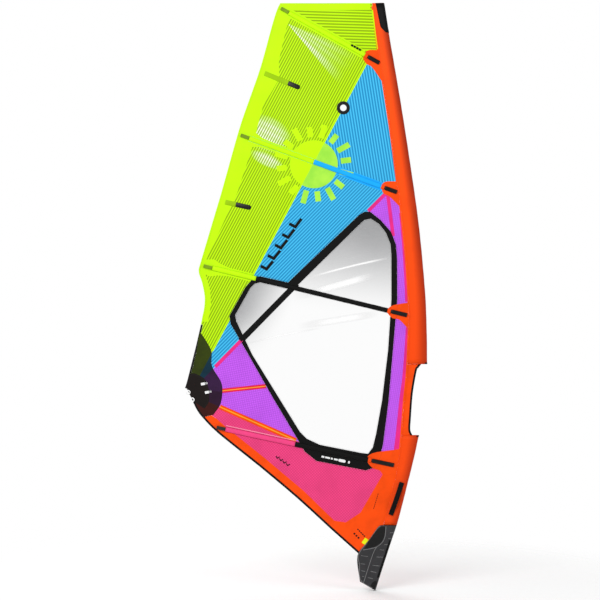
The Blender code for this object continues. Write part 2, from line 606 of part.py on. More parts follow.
def webbing_loop():
    """Tack webbing: a strap round the frame's bar, with a leg on each face of the tack."""
    bend, slack, top = 0.0043, 0.0008, 0.150
    leg = 0.0018

    def side_path(grow):
        """Half-open U of the strap's inner or outer face."""
        arc = [(bend + grow) * Vector((math.cos(a), math.sin(a))) for a in
               (math.pi / 2 + math.pi * k / 6 for k in range(7))]
        lead = [Vector((top, slack + grow)), Vector((0.030, slack + grow)), Vector((0.010, bend + grow))]
        return lead + arc + [Vector((p.x, -p.y)) for p in reversed(lead)]

    bm = bmesh.new()
    outline = side_path(0.0) + side_path(leg)[::-1]
    face = bm.faces.new([bm.verts.new((-0.0125, p.x, p.y)) for p in outline])
    extruded = bmesh.ops.extrude_face_region(bm, geom=[face])
    side = [v for v in extruded["geom"] if isinstance(v, bmesh.types.BMVert)]
    bmesh.ops.translate(bm, verts=side, vec=(0.025, 0, 0))
    bmesh.ops.recalc_face_normals(bm, faces=bm.faces[:])
    return finish(bm, "tack_webbing", BLACK)


def main():
    """Clear the scene and build the whole sail."""
    for obj in list(bpy.data.objects):
        bpy.data.objects.remove(obj, do_unlink=True)
    build_panels()
    build_bindings()
    build_diagonal_tape()
    build_sleeve()
    build_head()
    for number, (leech, luff, cap_length) in enumerate(BATTENS, 1):
        build_batten(number, leech, luff, cap_length)
    for number, (outer, inner) in enumerate(MINI_BATTENS, 1):
        build_mini_batten(number, outer, inner)
    build_fittings()
    build_fairing()
    build_pulley()


main()
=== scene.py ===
import math

import bmesh
import bpy
from mathutils import Matrix, Vector


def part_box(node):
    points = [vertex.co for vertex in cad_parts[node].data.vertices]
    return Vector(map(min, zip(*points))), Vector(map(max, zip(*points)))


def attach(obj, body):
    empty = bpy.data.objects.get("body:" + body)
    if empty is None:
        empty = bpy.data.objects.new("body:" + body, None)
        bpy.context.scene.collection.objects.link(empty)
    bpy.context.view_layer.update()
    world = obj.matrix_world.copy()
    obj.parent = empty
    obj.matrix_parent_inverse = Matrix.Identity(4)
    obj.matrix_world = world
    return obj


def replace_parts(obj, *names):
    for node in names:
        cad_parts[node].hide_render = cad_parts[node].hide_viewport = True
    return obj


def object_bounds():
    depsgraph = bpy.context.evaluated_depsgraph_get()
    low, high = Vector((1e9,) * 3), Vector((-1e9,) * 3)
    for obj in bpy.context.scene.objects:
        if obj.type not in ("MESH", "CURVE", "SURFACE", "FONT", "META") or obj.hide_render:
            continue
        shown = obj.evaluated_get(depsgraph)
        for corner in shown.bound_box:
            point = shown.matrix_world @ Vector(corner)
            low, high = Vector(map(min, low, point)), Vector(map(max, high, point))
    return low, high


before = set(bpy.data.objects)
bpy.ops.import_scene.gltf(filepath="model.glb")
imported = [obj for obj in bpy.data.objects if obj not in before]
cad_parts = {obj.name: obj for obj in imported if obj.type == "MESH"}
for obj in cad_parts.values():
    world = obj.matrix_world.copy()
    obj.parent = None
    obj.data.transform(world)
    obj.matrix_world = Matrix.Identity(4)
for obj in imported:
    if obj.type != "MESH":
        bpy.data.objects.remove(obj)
CAD_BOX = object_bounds()

bl_info = {
    "name": "Wave Windsurf Sail",
    "version": (1, 0, 0),
    "blender": (4, 5, 0),
    "location": "View3D > Sidebar > Sail",
    "description": "Builds the cloth, tapes, sleeve and fittings of a wave windsurf sail",
    "category": "Add Mesh",
}

SAIL = "sail"                       # the body that every sewn piece rides on
FRONT, BACK = -1.0, 1.0             # the two faces of the sail, as signs of y
BOTH = (FRONT, BACK)

# ------------------------------------------------------------------ shared shapes of the sail

LUFF = [(0.020, 3.878), (0.056, 3.654), (0.133, 3.206), (0.203, 2.758), (0.266, 2.310), (0.308, 1.862),
        (0.3185, 1.638), (0.3225, 1.414), (0.318, 1.150), (0.290, 0.960), (0.261, 0.826),
        (0.231, 0.686), (0.189, 0.518), (0.147, 0.350), (0.111, 0.217)]
SEAM = [(-0.063, 3.878), (-0.021, 3.542), (0.063, 2.996), (0.112, 2.625), (0.137, 2.436),
        (0.175, 2.072), (0.195, 1.700), (0.181, 1.288), (0.161, 1.092), (0.133, 0.749),
        (0.094, 0.518), (0.052, 0.350), (0.018, 0.217)]
CUTOUT = [(0.281, 1.3427), (0.262, 1.318), (0.249, 1.293), (0.2226, 1.141), (0.2086, 0.959),
          (0.2050, 0.885), (0.219, 0.8463)]
LEECH = [(-0.705, 3.870), (-0.728, 3.822), (-0.763, 3.710), (-0.840, 3.430), (-0.917, 3.206),
         (-0.994, 2.982), (-1.120, 2.534), (-1.253, 2.086), (-1.276, 1.995), (-1.253, 1.918),
         (-1.234, 1.820), (-1.237, 1.740), (-1.250, 1.675), (-1.260, 1.620), (-1.295, 1.470),
         (-1.351, 1.246), (-1.372, 1.176)]
FOOT = [(-1.316, 1.078), (-1.288, 1.022), (-1.246, 0.966), (-1.134, 0.854), (-0.854, 0.630),
        (-0.588, 0.406), (-0.343, 0.182), (-0.160, 0.019)]
LIME_BLUE = ((-1.176, 1.435), (-0.101, 3.444))
DIAGONAL = ((-1.183, 1.302), (0.014, 2.520))
BATTENS = [((-0.700, 3.833), (-0.003, 3.446)), ((-0.982, 2.946), (0.121, 2.543)),
           ((-1.242, 2.0306), (0.192, 1.683)), ((-1.150, 0.9005), (0.100, 0.633))]
MINI_BATTENS = [((-0.815, 3.379), (-0.566, 3.276)), ((-1.090, 2.477), (-0.908, 2.436))]
CLEW, RING = (-1.336, 1.120), (-0.264, 3.137)

CELL = 0.04                         # grid of the cloth, fine enough for its relief
CLOTH = 0.0006                      # thickness of the film
ARC_STEPS = 4
WELD = 1e-5                         # corners closer than this are one corner


def curve(points, steps=ARC_STEPS):
    """Smooth a polyline through its points with a Catmull-Rom curve."""
    pts = [Vector(p) for p in points]
    pts = [2 * pts[0] - pts[1]] + pts + [2 * pts[-1] - pts[-2]]
    out = []
    for a, b, c, d in zip(pts, pts[1:], pts[2:], pts[3:]):
        for k in range(steps):
            t = k / steps
            out.append(0.5 * (2 * b + (c - a) * t + (2 * a - 5 * b + 4 * c - d) * t * t
                              + (3 * b - a - 3 * c + d) * t ** 3))
    return out + [pts[-2]]


def offset(points, distance):
    """Move a polyline to its left."""
    pts = [Vector(p) for p in points]
    out = []
    for i, p in enumerate(pts):
        back = (p - pts[i - 1]).normalized() if i else (pts[1] - p).normalized()
        ahead = (pts[i + 1] - p).normalized() if i + 1 < len(pts) else back
        turn = Vector((-back.y - ahead.y, back.x + ahead.x)).normalized()
        out.append(p + turn * distance / max(0.4, turn.dot(Vector((-back.y, back.x)))))
    return out


def band(points, width, shift=0.0):
    """Outline of a tape of that width along a line, moved left by shift."""
    return offset(points, shift + width / 2) + offset(points, shift - width / 2)[::-1]


def circle(centre, radius, steps=32, start=0.0, sweep=math.tau):
    """Points on a circle or an arc."""
    count = steps if sweep >= math.tau else steps + 1
    return [Vector((centre[0] + radius * math.cos(start + sweep * k / steps),
                    centre[1] + radius * math.sin(start + sweep * k / steps))) for k in range(count)]


def x_at(line, z):
    """x of a luff or seam curve at height z."""
    for (x1, z1), (x2, z2) in zip(line, line[1:]):
        if (z1 - z) * (z2 - z) <= 0 and z1 != z2:
            return x1 + (x2 - x1) * (z - z1) / (z2 - z1)
    return line[-1][0] if z < line[-1][1] else line[0][0]


LUFF_LINE = curve(LUFF, 3)
SEAM_LINE = curve(SEAM, 3)


def step(value, low, high):
    """Smooth step from 0 at low to 1 at high."""
    t = min(1.0, max(0.0, (value - low) / (high - low)))
    return t * t * (3 - 2 * t)


def distance_to(line, x, z):
    """Distance from a point to a straight segment of the sail plane."""
    a, b, p = Vector(line[0]), Vector(line[1]), Vector((x, z))
    t = min(1.0, max(0.0, (p - a).dot(b - a) / (b - a).length_squared))
    return (p - a.lerp(b, t)).length


def relief(x, z):
    """Slack of the cloth between its battens: a few millimetres of soft waves."""
    hold = 1.0
    for line in BATTENS + MINI_BATTENS:
        hold *= step(distance_to(line, x, z), 0.03, 0.17)
    hold *= step(x_at(SEAM_LINE, z) - x, 0.01, 0.13)
    hold *= step(math.dist((x, z), CLEW), 0.25, 0.55)
    hold *= step(math.dist((x, z), RING), 0.05, 0.12)
    hold *= step(z - 0.30 + 0.5 * x, 0.0, 0.25)
    from_clew = math.atan2(z - CLEW[1], x - CLEW[0])
    waves = 0.45 * math.sin(21 * from_clew) + 0.35 * math.sin(9.1 * x + 4.7 * z)
    waves += 0.20 * math.sin(17 * x - 6 * z + 1.3)
    return 0.0045 * hold * waves


def flat_at(x, z):
    """No relief: for pieces beside the stiff corners and on the sleeve."""
    return 0.0


def axes(start, end):
    """Unit vectors along and across a line, in the sail plane."""
    u = (Vector(end) - Vector(start)).normalized()
    return u, Vector((-u.y, u.x))


def local(start, end, points):
    """Points given along and across a line, in the sail plane."""
    u, v = axes(start, end)
    return [Vector(start) + u * s + v * t for s, t in points]


def rectangle(line, start, width, low, high):
    """Rectangle by a line: it starts at a distance along it and lies between two distances across it."""
    return local(*line, [(start, low), (start + width, low), (start + width, high), (start, high)])


# ------------------------------------------------------------------ meshes

def face_from(bm, outline, y=0.0):
    """One flat face of the sail plane with that outline."""
    return bm.faces.new([bm.verts.new((p[0], y, p[1])) for p in outline])


def slice_grid(bm, cell=CELL):
    """Cut flat cloth along a square grid so that it can follow the relief."""
    xs = [v.co.x for v in bm.verts]
    zs = [v.co.z for v in bm.verts]
    for axis, low, high in ((0, min(xs), max(xs)), (2, min(zs), max(zs))):
        normal = Vector((0, 0, 0))
        normal[axis] = 1.0
        for k in range(math.ceil(low / cell), math.ceil(high / cell)):
            bmesh.ops.bisect_plane(bm, geom=bm.verts[:] + bm.edges[:] + bm.faces[:], dist=1e-6,
                                   plane_co=normal * cell * k, plane_no=normal)
    bmesh.ops.triangulate(bm, faces=bm.faces[:])


def to_piece(bm, name, finish, body=SAIL, smooth=True, angle=35):
    """Turn the bmesh into a finished piece with its finish, that rides on a body."""
    mesh = bpy.data.meshes.new(name)
    bm.to_mesh(mesh)
    bm.free()
    piece = bpy.data.objects.new(name, mesh)
    bpy.context.scene.collection.objects.link(piece)
    mesh.materials.append(finish_of(finish))
    if smooth:
        mesh.shade_smooth()
        mesh.set_sharp_from_angle(angle=math.radians(angle))
    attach(piece, body)
    return piece


def wall(piece, thickness, offset=-1.0, even=False):
    """Give a skin its thickness: on its inner side, or about its middle with an offset of 0."""
    modifier = piece.modifiers.new("wall", "SOLIDIFY")
    modifier.thickness, modifier.offset, modifier.use_even_offset = thickness, offset, even


def thicken(bm, base, top):
    """Make a flat sheet a solid between two levels over the relief."""
    raised = bmesh.ops.extrude_face_region(bm, geom=bm.faces[:])
    upper = {v for v in raised["geom"] if isinstance(v, bmesh.types.BMVert)}
    for v in bm.verts:
        v.co.y = relief(v.co.x, v.co.z) + (top if v in upper else base)
    bmesh.ops.recalc_face_normals(bm, faces=bm.faces[:])


def film(name, outlines, level, thickness, finish, sides=BOTH, cell=CELL, grid=True):
    """Flat pieces of film or tape laid on the sail, on one or both of its faces."""
    whole = bmesh.new()
    for side in sides:
        for outline in outlines:
            bm = bmesh.new()
            face_from(bm, outline)
            if grid:
                slice_grid(bm, cell)
            thicken(bm, side * level, side * (level + thickness))
            merge_into(whole, bm)
    return to_piece(whole, name, finish)


def merge_into(whole, part):
    """Add one bmesh to another."""
    mesh = bpy.data.meshes.new("part")
    part.to_mesh(mesh)
    part.free()
    whole.from_mesh(mesh)
    bpy.data.meshes.remove(mesh)


def front_of(node):
    """The flat front of a CAD node, with its corners welded."""
    bm = bmesh.new()
    bm.from_mesh(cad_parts[node].data)
    bmesh.ops.remove_doubles(bm, verts=bm.verts[:], dist=WELD)
    bmesh.ops.delete(bm, geom=[f for f in bm.faces if f.normal.y > -0.9], context="FACES")
    return bm


def cloth_of(node, name, finish, thickness=CLOTH, tape=None):
    """The cloth of a flat CAD node: its outline cut to a grid, bent to the relief and thickened.

    For a tape or a slanting strip its run and mean width are worked out, then not used."""
    bm = front_of(node)
    bmesh.ops.dissolve_limit(bm, angle_limit=0.01, verts=bm.verts[:], edges=bm.edges[:])
    for v in bm.verts:
        v.co.y = 0.0
    slice_grid(bm)
    thicken(bm, -thickness / 2, thickness / 2)
    area = sum(f.calc_area() for f in bm.faces) / 2
    low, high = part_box(node)
    piece = to_piece(bm, name, finish)
    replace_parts(piece, node)
    width, length = high[0] - low[0], high[2] - low[2]
    if tape or area < 0.32 * width * length:
        run = area / tape if tape else math.hypot(width, length)
        area / run


def loft(bm, rings, closed=True):
    """Skin rows of points with quads."""
    rows = [[bm.verts.new(p) for p in ring] for ring in rings]
    count = len(rows[0])
    for low, high in zip(rows, rows[1:]):
        for i in range(count if closed else count - 1):
            j = (i + 1) % count
            bm.faces.new((low[i], low[j], high[j], high[i]))


def lathe(name, finish, centre, profile, count, node):
    """A ring turned about a point of the sail plane from its profile of radii and y, in place of a node."""
    rings = [[Vector((p.x, y, p.y)) for p in circle(centre, r, count)] for r, y in profile]
    bm = bmesh.new()
    loft(bm, rings + rings[:1])
    bmesh.ops.remove_doubles(bm, verts=bm.verts[:], dist=1e-6)
    bmesh.ops.recalc_face_normals(bm, faces=bm.faces[:])
    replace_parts(to_piece(bm, name, finish), node)


def paint(node, finish):
    """Give a CAD node that stays in view its finish."""
    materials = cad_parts[node].data.materials
    for k in range(len(materials)):
        materials[k] = finish_of(finish)
    if not materials:
        materials.append(finish_of(finish))


# ------------------------------------------------------------------ materials

class Value:
    """A number socket of a shader, with the sums that formulas need."""

    def __init__(self, finish, socket):
        self.finish, self.socket = finish, socket

    def sum(self, operation, *terms):
        node = self.finish.node("ShaderNodeMath", {"operation": operation}, dict(enumerate(terms)))
        return Value(self.finish, node.outputs[0])

    def __add__(self, other):
        return self.sum("ADD", self, other)

    def __sub__(self, other):
        return self.sum("SUBTRACT", self, other)

    def __mul__(self, other):
        return self.sum("MULTIPLY", self, other)

    __radd__, __rmul__ = __add__, __mul__

    def fraction(self):
        """What is left over a whole number."""
        return self.sum("FRACT", self)

    def sine(self):
        """Sine of radians."""
        return self.sum("SINE", self)

    def ramp(self, low, high):
        """0 at low, 1 at high, clamped."""
        node = self.finish.node("ShaderNodeMapRange", {"clamp": True, "interpolation_type": "SMOOTHSTEP"},
                                {0: self, 1: low, 2: high, 3: 0.0, 4: 1.0})
        return Value(self.finish, node.outputs[0])


class Finish:
    """A material under construction, with the object's own coordinates at hand."""

    def __init__(self, name, roughness, metallic=0.0, specular=0.12):
        self.material = bpy.data.materials.new(name)
        self.material.use_nodes = True
        self.tree = self.material.node_tree
        self.shader = self.tree.nodes["Principled BSDF"]
        self.shader.inputs["Roughness"].default_value = roughness
        self.shader.inputs["Metallic"].default_value = metallic
        self.shader.inputs["Specular IOR Level"].default_value = specular
        self.place = self.node("ShaderNodeTexCoord", {}, {}).outputs["Object"]
        split = self.node("ShaderNodeSeparateXYZ", {}, {0: self.place})
        self.x, self.y, self.z = (Value(self, split.outputs[k]) for k in range(3))

    def node(self, kind, settings, inputs):
        """A node of that kind with its settings, then the values or links of its sockets."""
        node = self.tree.nodes.new(kind)
        for key, value in settings.items():
            setattr(node, key, value)
        for key, value in inputs.items():
            self.connect(value, node.inputs[key])
        return node

    def connect(self, value, socket):
        """Link a socket or set a constant."""
        if isinstance(value, Value):
            value = value.socket
        if isinstance(value, bpy.types.NodeSocket):
            self.tree.links.new(value, socket)
        elif isinstance(value, tuple) and len(value) == 3 and socket.type == "RGBA":
            socket.default_value = (*value, 1.0)
        else:
            socket.default_value = value

    def set(self, socket, value):
        """Give a shader socket its value."""
        self.connect(value, self.shader.inputs[socket])

    def mix(self, factor, first, second):
        """Blend two colours."""
        node = self.node("ShaderNodeMix", {"data_type": "RGBA"}, {0: factor, 6: first, 7: second})
        return node.outputs[2]

    def noise(self, scale, detail=2.0):
        """Smooth random values from 0 to 1 with features of 1/scale metres."""
        node = self.node("ShaderNodeTexNoise", {}, {"Vector": self.place, "Scale": scale, "Detail": detail})
        return Value(self, node.outputs["Fac"])

    def stripes(self, across, pitch, width):
        """Lines square to a direction (x, z): 1 on a line, 0 between lines."""
        along = (self.x * (across[0] / pitch) + self.z * (across[1] / pitch)).fraction()
        return along.ramp(width, width * 0.55) + along.ramp(1 - width * 0.45, 1.0)

    def bump(self, height, strength, distance=0.001):
        """Bump the surface with a height."""
        node = self.node("ShaderNodeBump", {}, {"Strength": strength, "Distance": distance, "Height": height})
        self.connect(node.outputs[0], self.shader.inputs["Normal"])


def srgb(r, g, b):
    """Linear colour from screen values of 0 to 255."""
    return tuple((v / 255 / 12.92) if v < 11 else (((v / 255) + 0.055) / 1.055) ** 2.4 for v in (r, g, b))


def tint(value):
    """A linear colour, from the name of a colour of the sail or from screen values."""
    return tuple(getattr(bpy.context.scene.sail_colours, value)) if isinstance(value, str) else srgb(*value)


def darker(colour, share):
    """The colour times a share."""
    return tuple(c * share for c in colour)


def painted_highlight_patch(finish, centre, tilt, reach, half):
    """A slanting soft patch of painted highlight where the film shines: 1 in its middle, 0 outside."""
    along, side = turned(finish, centre, tilt)
    rays = (side * 130.0).sine() * 0.18 + 0.82
    return (along * along * (1 / reach ** 2) + side * side * (1 / half ** 2)).ramp(1.0, 0.0) * rays


def painted_highlight_fan(finish, apex, tilt, reach, spread):
    """A fan of painted highlight rays from a point, with its brightest ray along its lower edge."""
    along, side = turned(finish, apex, tilt)
    slope = side.sum("DIVIDE", side, along.sum("MAXIMUM", along, 0.001))
    fade = along.ramp(reach, reach * 0.25) * along.ramp(0.0, 0.01)
    inside = slope.ramp(-spread - 0.03, -spread + 0.03) * slope.ramp(spread + 0.12, spread)
    rays = (slope * 46.0).sine() * 0.16 + 0.42
    edge = slope.ramp(-spread - 0.03, -spread + 0.02) * slope.ramp(-spread + 0.13, -spread + 0.05)
    return fade.sum("MINIMUM", (inside * rays + edge * 0.75) * fade, 1.0)


def turned(finish, centre, tilt):
    """Distances along and across a slanting line through a point."""
    u, v = (math.cos(tilt), math.sin(tilt)), (-math.sin(tilt), math.cos(tilt))
    along = finish.x * u[0] + finish.z * u[1] - (centre[0] * u[0] + centre[1] * u[1])
    side = finish.x * v[0] + finish.z * v[1] - (centre[0] * v[0] + centre[1] * v[1])
    return along, side


def scrim_film(name, colour, line, across, pitch, patches=(), fans=()):
    """Reinforced film: parallel yarns laminated into satin film, with painted white highlights from the given
    patches and fans.
    """
    finish, colour = Finish(name, 0.42), tint(colour)
    yarn = finish.stripes(across, pitch, 0.52)
    cloud = finish.noise(2.2)
    ground = finish.mix(cloud.ramp(0.35, 0.7) * 0.5, colour, darker(colour, 0.93))
    # painted highlights: soft white patches and fans of rays mixed into the film's colour
    painted_highlights = [painted_highlight_patch(finish, *patch) for patch in patches]
    for painted_highlight in painted_highlights + [painted_highlight_fan(finish, *fan) for fan in fans]:
        ground = finish.mix(painted_highlight * 0.9, ground, srgb(250, 252, 236))
    finish.set("Base Color", finish.mix(yarn * 0.9, ground, tint(line)))
    finish.set("Roughness", cloud * 0.16 + 0.33)
    finish.bump(yarn + finish.noise(140.0) * 0.35, 0.22)
    return finish.material


def grid_film(name, colour, line, pitch=0.0150, tilt=(0.98, 0.2)):
    """Film with a fine square scrim."""
    finish, colour = Finish(name, 0.45), tint(colour)
    warp = finish.stripes(tilt, pitch, 0.26)
    weft = finish.stripes((-tilt[1], tilt[0]), pitch, 0.26)
    grid = warp.sum("MAXIMUM", warp, weft)
    cloud = finish.noise(5.0)
    ground = finish.mix(cloud.ramp(0.4, 0.7), colour, darker(colour, 0.88))
    finish.set("Base Color", finish.mix(grid * 0.75, ground, tint(line)))
    finish.bump(grid + finish.noise(160.0) * 0.3, 0.2)
    return finish.material


def woven(name, colour, roughness=0.5, thread=0.0009, depth=0.35):
    """Plain woven tape or cloth."""
    finish, colour = Finish(name, roughness), tint(colour)
    warp = (finish.x * (math.tau / thread)).sine()
    weft = (finish.z * (math.tau / thread)).sine()
    cloth = warp * weft * 0.5 + 0.5
    cloud = finish.noise(9.0)
    ground = finish.mix(cloud.ramp(0.35, 0.7), colour, darker(colour, 0.86))
    finish.set("Base Color", finish.mix(cloth * 0.18, ground, darker(colour, 0.7)))
    finish.bump(cloth + cloud * 0.5, depth, 0.0004)
    return finish.material


def plain_film(name, colour, roughness=0.4, dark=0.9):
    """Unreinforced satin film with a little variation."""
    finish, colour = Finish(name, roughness), tint(colour)
    cloud = finish.noise(6.0)
    finish.set("Base Color", finish.mix(cloud.ramp(0.35, 0.7), colour, darker(colour, dark)))
    finish.set("Roughness", cloud * 0.15 + (roughness - 0.07))
    finish.bump(finish.noise(180.0), 0.12)
    return finish.material


def moulded(name, colour, roughness=0.5, grain=900.0):
    """Moulded plastic or rubber with a fine texture."""
    finish, colour = Finish(name, roughness, specular=0.25), tint(colour)
    cloud = finish.noise(14.0, 3.0)
    grit = finish.noise(grain)
    finish.set("Base Color", finish.mix(cloud.ramp(0.3, 0.75), colour, darker(colour, 1.25)))
    finish.set("Roughness", cloud * 0.2 + (roughness - 0.1))
    finish.bump(grit, 0.25, 0.0003)
    return finish.material


def metal(name, colour, roughness=0.25):
    """Brushed or turned metal."""
    finish, colour = Finish(name, roughness, 1.0, 0.5), tint(colour)
    brush = finish.noise(500.0)
    finish.set("Base Color", finish.mix(brush * 0.4, colour, darker(colour, 0.75)))
    finish.set("Roughness", brush * 0.25 + (roughness - 0.08))
    return finish.material


# ------------------------------------------------------------------ sizes and colours

def colour(name, default, description):
    """A colour property of the sail."""
    return bpy.props.FloatVectorProperty(name=name, description=description, default=default,
                                         size=3, min=0.0, max=1.0, subtype="COLOR")


def length(name, default, description):
    """A length property of the sail."""
    return bpy.props.FloatProperty(name=name, description=description, default=default, min=0.0,
                                   unit="LENGTH", precision=4)


class SailColours(bpy.types.PropertyGroup):
    """Colours of the cloths, films and fittings."""
    lime: colour("Lime film", srgb(193, 247, 2), "Leech and head panels")
    lime_yarn: colour("Lime yarn", srgb(128, 160, 4), "Yarns in the lime film")
    blue: colour("Blue film", srgb(70, 190, 238), "Blue panels")
    blue_yarn: colour("Blue yarn", srgb(22, 128, 184), "Yarns in the blue film")
    blue_solid: colour("Solid blue", srgb(24, 172, 250), "Batten pockets on the blue panels")
    purple: colour("Purple film", srgb(198, 92, 240), "Luff and clew panels")
    purple_yarn: colour("Purple yarn", srgb(158, 72, 204), "Grid in the purple film")
    pink: colour("Pink film", srgb(238, 70, 132), "Foot panel")
    pink_yarn: colour("Pink yarn", srgb(206, 48, 104), "Grid in the pink film")
    orange: colour("Orange cloth", srgb(252, 78, 2), "Sleeve, tack and luff patches")
    magenta: colour("Magenta tape", srgb(236, 44, 136), "Seam tapes of the purple panels")
    red: colour("Red tape", srgb(232, 36, 66), "Middle seam tape at the clew")
    amber: colour("Amber thread", srgb(255, 168, 40), "Bright core of the lower seam tape")
    black: colour("Black tape", srgb(9, 9, 9), "Window frame, bindings and caps")
    grey: colour("Grey moulding", srgb(44, 44, 46), "Tack fairing")
    olive: colour("Olive plastic", srgb(108, 140, 6), "Tensioner housings")
    white: colour("White print", srgb(236, 238, 238), "Plain printed shapes")


class SailSizes(bpy.types.PropertyGroup):
    """Widths of the tapes and sizes of the small parts."""
    frame_tape: length("Frame tape", 0.042, "Width of the window's frame tape")
    seam_tape: length("Seam tape", 0.024, "Width of the coloured seam tapes")
    binding: length("Binding", 0.013, "Width of the leech and foot bindings")
    pocket: length("Pocket tape", 0.058, "Width of the tape under a batten pocket")
    stitch: length("Stitch", 0.0045, "Length of one stitch")
    flange: length("Eyelet flange", 0.0165, "Outer radius of a clew eyelet")
    camera_distance: length("Camera distance", 12.0, "Distance of the camera from the sail")
    view_width: length("View width", 4.2, "Width of the view at the sail")


def sizes():
    """The sail's widths and sizes."""
    return bpy.context.scene.sail_sizes


PALETTE = {}


def finish_of(key):
    """The shared material of that name, made the first time that it is asked for."""
    if key not in PALETTE:
        slot, maker, *values = FINISHES[key]
        PALETTE[key] = maker(key, *values)
    return PALETTE[key]


ALONG_SEAM = (0.8817, -0.4718)      # square to the lime and blue seam
ALONG_LUFF = (0.9872, 0.1570)
ALONG_DIAGONAL = (0.7133, -0.7009)
# Painted highlights on the lime leech film: each patch's centre, tilt, reach and half width, then each fan's
# apex, tilt, reach and spread
PAINTED_HIGHLIGHT_PATCHES = (((-0.800, 2.955), -0.45, 0.190, 0.130), ((-0.800, 2.775), -0.45, 0.130, 0.050))
PAINTED_HIGHLIGHT_FANS = (((-0.655, 3.728), -0.66, 0.560, 0.200),)


# Painted reflection streaks in the window: height at x = 0, slope and bend, then the ends and half the width
WINDOW_PAINTED_STREAKS = ((2.075, 0.20, -0.10, -0.58, 0.10, 0.010), (1.640, 0.06, -0.11, -0.98, -0.40, 0.008),
                  (1.700, 0.16, 0.0, -0.60, 0.00, 0.030), (1.980, 0.28, 0.0, -0.62, 0.00, 0.035))


def clear_film(name):
    """Clear window film: glossy and nearly clear, with a painted grey reflection haze and painted white
    reflection streaks.
    """
    finish = Finish(name, 0.12, specular=0.4)
    painted_reflection_streak = 0.0
    for height, slope, bend, low, high, width in WINDOW_PAINTED_STREAKS:
        away = finish.z - (finish.x * slope + finish.x * finish.x * bend + height)
        painted_reflection_streak = (away * away).ramp(width * width, 0.0) * finish.x.ramp(low, low + 0.25) \
            * finish.x.ramp(high, high - 0.2) + painted_reflection_streak
    corner = (finish.x * -0.70 + finish.z * 0.36).ramp(1.05, 1.40) * finish.z.ramp(1.30, 1.75)
    top = (finish.z + finish.x * 0.10).ramp(1.66, 2.42)
    painted_reflection_haze = corner.sum("MAXIMUM", corner, top)
    soft = finish.noise(1.6) * 0.5 + 0.75
    # painted reflections: white streaks over a grey haze, in the colour and the alpha of the film
    finish.set("Base Color", finish.mix(painted_reflection_streak, srgb(138, 139, 141), srgb(250, 250, 250)))
    finish.set("Alpha", painted_reflection_haze * soft * 0.58 + painted_reflection_streak * 0.25 + 0.02)
    finish.shader.inputs["Coat Weight"].default_value = 0.3
    finish.bump(finish.noise(9.0), 0.12, 0.002)
    return finish.material


def half_plane(finish, point, normal, soft=0.003):
    """1 on one side of a line of the sail plane, 0 on the other."""
    level = point[0] * normal[0] + point[1] * normal[1]
    return (finish.x * normal[0] + finish.z * normal[1]).ramp(level - soft, level + soft)


def clew_film(name):
    """Dark see-through film over the corner, with the panels' colours just showing in it."""
    finish = Finish(name, 0.38)
    shown = finish.mix(half_plane(finish, LIME_BLUE[0], ALONG_SEAM), srgb(50, 62, 8), srgb(12, 50, 68))
    shown = finish.mix(half_plane(finish, DIAGONAL[0], ALONG_DIAGONAL), shown, srgb(52, 26, 62))
    shown = finish.mix(half_plane(finish, (-1.115, 1.150), (-0.10, -0.995)), shown, srgb(44, 20, 46))
    shown = finish.mix(half_plane(finish, (-1.128, 1.044), (-0.405, -0.914)), shown, srgb(62, 22, 18))
    cloud = finish.noise(12.0)
    finish.set("Base Color", finish.mix(cloud.ramp(0.35, 0.8) * 0.4, shown, srgb(18, 16, 16)))
    finish.bump(finish.noise(160.0), 0.15)
    return finish.material


def emblem_film(name):
    """Plain round print: lime on the lime film, green on the blue film."""
    finish = Finish(name, 0.4)
    on_blue = half_plane(finish, LIME_BLUE[0], ALONG_SEAM, 0.002)
    cloud = finish.noise(9.0)
    green = finish.mix(cloud.ramp(0.35, 0.7), srgb(172, 234, 72), srgb(150, 222, 66))
    finish.set("Base Color", finish.mix(on_blue, tint("lime"), green))
    finish.bump(finish.noise(170.0), 0.1)
    return finish.material


def sleeve_cloth(name):
    """Orange sleeve cloth, with painted shade darkening its round front and a darker tone towards the bottom.
    """
    finish = Finish(name, 0.5)
    warp = (finish.z * (math.tau / 0.0014)).sine()
    weft = (finish.x * (math.tau / 0.0014)).sine()
    cloud = finish.noise(5.0, 3.0)
    front = Value(finish, finish.node("ShaderNodeAttribute", {"attribute_name": "front"}, {}).outputs["Fac"])
    # painted shade: darker towards the round front, from the front attribute
    ground = finish.mix(front.ramp(0.30, 0.95), tint("orange"), srgb(158, 40, 2))
    ground = finish.mix(finish.z.ramp(2.6, 1.2) * 0.35, ground, srgb(226, 62, 4))
    finish.set("Base Color", finish.mix(cloud.ramp(0.45, 0.75) * 0.35, ground, srgb(206, 56, 4)))
    finish.bump(warp * weft * 0.4 + cloud, 0.35, 0.0006)
    return finish.material


